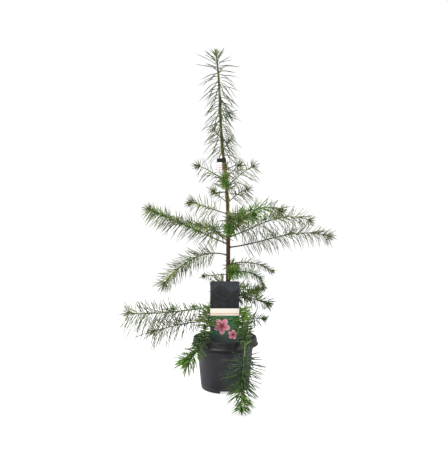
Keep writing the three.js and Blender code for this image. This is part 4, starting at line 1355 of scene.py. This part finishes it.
def grow_shoot(plant, shoot, number):
    """A side shoot: its limb and bark, its bud, needles and spurs, and its side twigs."""
    tones = shoot.tone if isinstance(shoot.tone, tuple) else (shoot.tone, shoot.tip_tone)
    stem = Stem(course_of(shoot), shoot.length, shoot.bare, tones, shoot.full)
    start = shoot.bare if shoot.bough else SHOOT_DEPTH * trunk_radius(shoot.height) / shoot.length
    if shoot.bough:
        make_bough(shoot, stem)
    for solid, low, high in ((plant.twigs, start, YOUNG_WOOD), (plant.young_twigs, YOUNG_WOOD, 1.0)):
        shares = stem.part(low, high, BARK_STEP)
        points = [stem.at(share)[0] for share in shares]
        add_tube(solid, points, lambda k: stem.radius(shares[k]), SHOOT_SIDES)
    add_tip_bud(plant.buds, *stem.at(1.0), *SHOOT_BUD)
    habit = HABITS[shoot.habit]
    looks = (shoot.needle, shoot.crowd, shoot.thin, shoot.tuft)
    grow_spray(plant, stem, habit, seeded(SEEDS["spray"] + number), *looks)
    grow_spurs(plant.needles, plant.buds, stem, shoot.spurs, seeded(SEEDS["spurs"] + number))
    grow_young(plant.needles, stem, shoot.young, seeded(SEEDS["young"] + number))
    if shoot.name in PLAIN_SHOOTS:
        return
    from_share = shoot.bare + BOUGH_GAP / shoot.length if shoot.bough else shoot.bare
    for twig in twigs_of(stem, from_share, seeded(SEEDS["twigs"] + number)):
        add_twig(plant, twig)
        grow_spray(plant, twig, habit, seeded(SEEDS["twig_spray"] + number), TWIG["needle"])


def make_plant():
    plant = Plant()
    for number, shoot in enumerate(SHOOTS):
        grow_shoot(plant, shoot, number)
    for number, twig in enumerate(LEADER_TWIGS):
        stem = Stem(course_of(twig), twig.length, LEADER_TWIG_BARE, (twig.tone, twig.tone), twig=True)
        add_twig(plant, stem)
        grow_spray(plant, stem, HABITS["dense"], seeded(SEEDS["leader_twig"] + number))
    grow_leader(plant, seeded(SEEDS["leader"]))
    add_tip_bud(plant.buds, trunk_centre(TIP), UP, *LEADER_BUD)

    masses = [f"foliage_{shoot.name}" for shoot in SHOOTS]
    wooden = [
        plant.twigs.piece("twigs", WOOD["twig"]),
        plant.young_twigs.piece("young_twigs", WOOD["young"]),
        plant.cushions.piece("needle_cushions", WOOD["cushion"], smooth=False),
        plant.buds.piece("buds", WOOD["bud"]),
    ]
    for piece in wooden:
        finished(piece, "bough_bark", *masses)
    for piece in plant.needles.pieces():
        finished(piece, "needles", *masses, *(f"foliage_{name}" for name in SLEEVES))


def add_twig(plant, twig):
    last = len(twig.points) - 1
    add_tube(plant.twigs, twig.points, lambda k: twig.radius(k / last), TWIG_SIDES)
    add_tip_bud(plant.buds, *twig.at(1.0), *TWIG_BUD)


def make_bough(shoot, stem):
    """The bare limb of a main shoot, which flares into the trunk."""
    solid = Solid()
    root = trunk_radius(shoot.height)
    start = BOUGH["start"] * root / shoot.length
    shares = stem.part(start, shoot.bare + BOUGH["under"], BOUGH["step"])

    def radius(k):
        beyond = max(0.0, shares[k] * shoot.length - root)
        return stem.radius(shares[k]) + BOUGH["flare"] * math.exp(-beyond / BOUGH["flare_depth"])

    points = [stem.at(share)[0] for share in shares]
    add_tube(solid, points, radius, BOUGH["sides"], bark_relief)
    finished(solid.piece(f"bough_{shoot.name}_bark", WOOD["bough"]), "bough_bark", f"bough_{shoot.name}")


# Pot and soil


def pot_profile():
    """The pot's closed section from the middle of its underside, up its outside and down its inside."""
    wall, floor, bead = POT["wall"], POT["floor"], POT["bead"]
    base, fillet = POT["base"][0], POT["fillet"]
    rim, top = POT["rim"]
    skirt, skirt_foot = POT["skirt"]
    neck, neck_height = POT["neck"]
    shoulder, shoulder_height = POT["shoulder"]
    middle, middle_height = POT["middle"]
    # The underside, the rounded foot and the fine line over it.
    out = [(0.0, 0.0), (0.03, 0.0)]
    out += corner((base - fillet, fillet), fillet, -90, 0, 8)
    out += [(base + 0.0009, 0.012), (base + 0.0006, 0.0126), (base + 0.0011, 0.0132)]
    # The wall, and the neck that goes up inside the collar.
    out += [(middle, middle_height), (shoulder, shoulder_height)]
    out += corner((neck - 0.0022, neck_height + 0.0016), 0.0022, -80, 0, 4)
    out += [(rim - wall - 0.0008, top - wall - 0.0012), (rim - wall + 0.0002, top - wall - 0.0008)]
    # The collar's inside, its beaded foot and its outside.
    out += [(skirt - wall, skirt_foot + 0.0006)]
    out += corner((skirt - wall + 0.0005, skirt_foot + 0.0005), 0.0005, 180, 270, 3)
    out += corner((skirt + bead - 0.0008, skirt_foot + 0.0008), 0.0008, -90, 50, 6)
    out += [(skirt - 0.0012, skirt_foot + 0.0034), (skirt - 0.0024, skirt_foot + 0.0062)]
    out += [(rim + 0.0016, top - 0.0080), (rim + 0.0004, top - 0.0032)]
    # The rolled rim, and the inside down to the floor.
    out += corner((rim - 0.0016, top - 0.0018), 0.0018, 5, 175, 8)
    out += [(neck - wall, neck_height + 0.0012), (shoulder - wall, shoulder_height + 0.001)]
    out += [(middle - wall, middle_height), (base - wall + 0.0007, floor + 0.001)]
    out += [(base - wall - 0.0004, floor), (0.0, floor)]
    return out


def make_pot():
    tones = srgb(40, 40, 47), srgb(52, 52, 60)
    # The collar's painted shade starts at the first height; the painted shadow under its skirt is centred on
    # the second.
    material = plastic_material("pot_plastic", *tones, roughness=0.45, dust=0.14, collar=(0.1255, 0.1203))
    pot = piece_of("pot_body", turned_mesh("pot_body", pot_profile(), POT["sides"]), material)
    cut_away(pot, channels())
    pot.data.polygons.foreach_set("use_smooth", [True] * len(pot.data.polygons))
    pot.data.set_sharp_from_angle(angle=math.radians(38))
    return finished(pot, "pot", "pot")


def channels():
    """The shapes of the channels under the pot and of the drains above them."""
    made = bmesh.new()
    for i in range(CHANNEL["count"]):
        turn = 2 * math.pi * i / CHANNEL["count"]
        add_channel(made, turn)
        add_drain(made, turn)
    return linked("channels", mesh_of(made, "channels"))


def cut_away(piece, cutter):
    """Takes the cutter's shape out of the piece, and the cutter out of the scene."""
    cut = piece.modifiers.new("cut", "BOOLEAN")
    cut.operation = "DIFFERENCE"
    cut.solver = "EXACT"
    cut.object = cutter
    bpy.context.view_layer.update()
    depsgraph = bpy.context.evaluated_depsgraph_get()
    mesh = bpy.data.meshes.new_from_object(piece.evaluated_get(depsgraph))
    piece.modifiers.clear()
    piece.data = mesh
    bpy.data.objects.remove(cutter)


def add_channel(made, turn):
    """A channel with rounded upper corners, to cut under the pot out to its foot."""
    half, height, round_by = CHANNEL["width"] / 2, CHANNEL["height"], CHANNEL["round"]
    under = -0.003
    outline = [(-half, under), (half, under)]
    outline += corner((half - round_by, height - round_by), round_by, 0, 90, 4)
    outline += corner((-half + round_by, height - round_by), round_by, 90, 180, 4)
    cos, sin = math.cos(turn), math.sin(turn)
    ends = [
        [(x * cos - y * sin, x * sin + y * cos, z) for y, z in outline]
        for x in (CHANNEL["inner"], POT["base"][0] + CHANNEL["beyond"])
    ]
    add_prism(made, *ends)


def add_drain(made, turn, sides=32):
    """A round hole, to cut up from a channel through the pot's floor."""
    middle = level_way(turn) * CHANNEL["drain_at"]
    heights = (CHANNEL["height"] - 0.001, POT["floor"] + 0.001)
    ends = [[middle + level_way(t) * CHANNEL["drain"] + UP * z for t in turns_of(sides)] for z in heights]
    add_prism(made, *ends)


def soil_height(x, y):
    """A rough top that falls away to the pot's wall."""
    def lumps(close, taken_at, high):
        return noise.noise(Vector((x * close, y * close, taken_at))) * high

    fall = SOIL["edge"] * (math.hypot(x, y) / SOIL["edge_at"]) ** 4
    return SOIL_TOP - SOIL["middle"] + lumps(*SOIL["rough"]) + lumps(*SOIL["fine"]) - fall


def make_soil():
    """Loose dark soil that fills the pot to below its neck, and crumbs lying on it."""
    material = soil_material()
    solid = Solid()
    inner = POT["neck"][0] - POT["wall"] - SOIL["room"]
    add_soil_body(solid, inner)
    add_crumbs(solid, inner, seeded(SEEDS["crumbs"]))
    return finished(solid.piece("soil_crumbs", material, smooth=False), "soil", "soil")


def add_soil_body(solid, inner):
    """The soil's top, its side down inside the pot's wall, and a flat underside over the channels."""
    sides, rings = SOIL["sides"], SOIL["rings"]
    points = [Vector((0, 0, soil_height(0, 0)))]
    for i in range(1, rings + 1):
        for turn in turns_of(sides):
            x, y = inner * i / rings * math.cos(turn), inner * i / rings * math.sin(turn)
            points.append(Vector((x, y, soil_height(x, y))))
    lower = [
        (POT["shoulder"][0] - POT["wall"] - SOIL["room"], POT["shoulder"][1] - 0.001),
        (POT["base"][0] - POT["wall"] + 0.0002, 0.011),
    ]
    for radius, height in lower:
        points.extend(Vector((radius * math.cos(t), radius * math.sin(t), height)) for t in turns_of(sides))
    faces = [(0, 1 + k, 1 + (k + 1) % sides) for k in range(sides)]
    last = 1 + (rings + len(lower) - 1) * sides
    for a in range(1, last, sides):
        for k in range(sides):
            after = (k + 1) % sides
            faces.append((a + k, a + sides + k, a + sides + after, a + after))
    faces.append(tuple(last + k for k in range(sides - 1, -1, -1)))
    solid.add(points, faces)


def add_crumbs(solid, inner, draw):
    """Crumbs that lie on the soil, clear of the card and the trunk."""
    for _ in range(SOIL["crumbs"]):
        away = inner * SOIL["out_to"] * math.sqrt(draw())
        turn = 2 * math.pi * draw()
        x, y = away * math.cos(turn), away * math.sin(turn)
        size = SOIL["crumb"] + SOIL["larger"] * draw() ** 2
        from_card = abs(y - (CARD_LOW.y + CARD_HIGH.y) / 2)
        if from_card < size + SOIL["clear"] and CARD_LOW.x < x < CARD_HIGH.x:
            continue
        if math.hypot(x - trunk_x(FOOT), y) < trunk_radius(FOOT) + size:
            continue
        add_crumb(solid, Vector((x, y, soil_height(x, y) + size * SOIL["raised"])), size, draw)


def add_crumb(solid, centre, size, draw):
    """A lump with eight uneven sides."""
    spin = draw() * math.pi
    points = []
    for x, y, z in ((1, 0, 0), (0, 1, 0), (-1, 0, 0), (0, -1, 0), (0, 0, 0.8), (0, 0, -0.8)):
        across = x * math.cos(spin) - y * math.sin(spin)
        deep = x * math.sin(spin) + y * math.cos(spin)
        points.append(centre + Vector((across, deep, z)) * size * varied(draw, *SOIL["uneven"]))
    faces = [(0, 1, 4), (1, 2, 4), (2, 3, 4), (3, 0, 4), (1, 0, 5), (2, 1, 5), (3, 2, 5), (0, 3, 5)]
    solid.add(points, faces)


# Card, tag and clip


def plate(name, outline, low, high, front_print, back):
    """An upright plate of an outline in X and Z, printed on its front, as thick as its box."""
    made = bmesh.new()
    ends = [[made.verts.new((x, y, z)) for x, z in outline] for y in (low.y, high.y)]
    made.faces.new(ends[0])
    made.faces.new(reversed(ends[1]))
    bridge(made, ends[1], ends[0])
    bmesh.ops.recalc_face_normals(made, faces=made.faces)
    rims = [edge for edge in made.edges if abs(edge.verts[0].co.y - edge.verts[1].co.y) < 1e-7]
    bmesh.ops.bevel(made, geom=rims, offset=(high.y - low.y) * 0.2, segments=2, affect="EDGES", profile=0.5)
    piece = piece_of(name, mesh_of(made, name), front_print, back, smooth=False)
    front_y = min(vertex.co.y for vertex in piece.data.vertices)
    for face in piece.data.polygons:
        flat_front = face.normal.y < -0.9 and abs(face.center.y - front_y) < 1e-6
        face.material_index = 0 if flat_front else 1
    return piece


def round_top(left, right, top, radius):
    """The two upper corners of a plate's outline, from the right one to the left one."""
    centres = (right - radius, top - radius), (left + radius, top - radius)
    return corner(centres[0], radius, 0, 90) + corner(centres[1], radius, 90, 180)


def make_card():
    left, right, top, foot = CARD_LOW.x, CARD_HIGH.x, CARD_HIGH.z, CARD_LOW.z
    middle, foot_half, shoulder = (left + right) / 2, 0.017, 0.118
    outline = [(middle - foot_half, foot), (middle + foot_half, foot), (right, shoulder)]
    outline += round_top(left, right, top, 0.003) + [(left, shoulder)]
    back = plastic_material("card_back", srgb(44, 46, 50), srgb(54, 56, 60), roughness=0.4, dust=0.1)
    return finished(plate("card", outline, CARD_LOW, CARD_HIGH, card_material(), back), "card", "label_card")


def make_tag():
    left, right, top, foot = TAG_LOW.x, TAG_HIGH.x, TAG_HIGH.z, TAG_LOW.z
    outline = [(left, foot), (right, foot)] + round_top(left, right, top, 0.0025)
    back = plastic_material("tag_back", srgb(224, 220, 218), srgb(238, 236, 234), roughness=0.5, dust=0.1)
    return finished(plate("tag_sheet", outline, TAG_LOW, TAG_HIGH, tag_material(), back), "tag", "tag")


def make_clip():
    """The collar round the trunk and its tail, which the tag hangs from."""
    tones = srgb(12, 13, 14), srgb(22, 23, 25)
    material = plastic_material("clip_plastic", *tones, roughness=0.45, dust=0.06)
    gap, wall = 0.0003, 0.0016
    made = bmesh.new()
    add_clip_ring(made, gap, gap + wall)
    add_clip_tail(made, gap + wall / 2)
    bmesh.ops.recalc_face_normals(made, faces=made.faces)
    clip = piece_of("clip", mesh_of(made, "clip"), material)
    clip.data.set_sharp_from_angle(angle=math.radians(40))
    return finished(clip, "clip", "tag_clip")


def add_clip_ring(made, inside, outside, sides=40, ease=0.0004, bark=0.0002):
    """A ring that follows the trunk, with eased outer edges, between two distances from the bark."""
    low, high = CLIP_LOW.z, CLIP_HIGH.z
    section = [
        (inside, low), (outside - ease, low), (outside, low + ease),
        (outside, high - ease), (outside - ease, high), (inside, high),
    ]
    rings = []
    for offset, z in section:
        radius = trunk_radius(z) + offset + bark
        spots = [trunk_centre(z) + level_way(turn) * radius for turn in turns_of(sides)]
        rings.append([made.verts.new(spot) for spot in spots])
    for ring, after in zip(rings, rings[1:] + rings[:1]):
        bridge(made, ring, after)


def add_clip_tail(made, offset):
    """A short bar with rounded edges, from the left of the clip's box into its ring."""
    middle = (CLIP_LOW.z + CLIP_HIGH.z) / 2
    near = trunk_x(middle) - trunk_radius(middle) - offset
    low, high, half = CLIP_LOW.z + 0.001, CLIP_HIGH.z - 0.001, 0.0015
    spots = [(x, y, z) for x in (CLIP_LOW.x, near) for y in (-half, half) for z in (low, high)]
    corners = [made.verts.new(spot) for spot in spots]
    sides = [(0, 1, 3, 2), (4, 6, 7, 5), (0, 4, 5, 1), (2, 3, 7, 6), (1, 5, 7, 3), (0, 2, 6, 4)]
    faces = [made.faces.new([corners[k] for k in side]) for side in sides]
    edges = list({edge for face in faces for edge in face.edges})
    bmesh.ops.bevel(made, geom=edges, offset=0.0005, segments=3, affect="EDGES", profile=0.5)


# Floor, light and camera


def make_floor():
    made = bmesh.new()
    bmesh.ops.create_circle(made, cap_ends=True, cap_tris=False, segments=96, radius=FLOOR_RADIUS)
    material, tree, shader = new_material("pale_floor", (0.5, 0.5, 0.5, 1), roughness=0.9, specular=0.0)
    shader.inputs["Emission Color"].default_value = FLOOR_LIGHT
    seen = node(tree, "ShaderNodeLightPath").outputs["Is Camera Ray"]
    tree.links.new(seen, shader.inputs["Emission Strength"])
    piece_of("floor", mesh_of(made, "floor"), material, smooth=False)


def make_light():
    """Soft light from all round, a little stronger from the left, in front of a white wall."""
    world = bpy.data.worlds.new("studio")
    bpy.context.scene.world = world
    world.use_nodes = True
    tree = world.node_tree
    tree.nodes.clear()
    sky = node(tree, "ShaderNodeBackground", {"Color": (1, 1, 1, 1), "Strength": SKY_LIGHT})
    wall = node(tree, "ShaderNodeBackground", {"Color": (1, 1, 1, 1), "Strength": WALL_LIGHT})
    seen = node(tree, "ShaderNodeLightPath").outputs["Is Camera Ray"]
    both = node(tree, "ShaderNodeMixShader", {0: seen, 1: sky.outputs[0], 2: wall.outputs[0]})
    node(tree, "ShaderNodeOutputWorld", {"Surface": both.outputs[0]})
    for name, (place, aim, size, power) in SOFTBOXES.items():
        add_softbox(name, Vector(place), Vector(aim), size, power)


def add_softbox(name, place, aim, size, power):
    light = bpy.data.lights.new(name, "AREA")
    light.shape = "SQUARE"
    light.size = size
    light.energy = power
    made = linked(name, light)
    made.location = place
    made.rotation_euler = (aim - place).to_track_quat("-Z", "Y").to_euler()


def make_camera():
    data = bpy.data.cameras.new("camera")
    data.lens = LENS
    data.sensor_width = SENSOR_WIDTH
    camera = linked("camera", data)
    camera.location = CAMERA
    camera.rotation_euler = (math.pi / 2, 0, 0)
    bpy.context.scene.camera = camera
    bpy.context.scene.view_settings.view_transform = "Standard"


make_camera()
make_light()
make_floor()
make_pot()
make_soil()
make_card()
make_tag()
make_clip()
make_trunk()
make_plant()
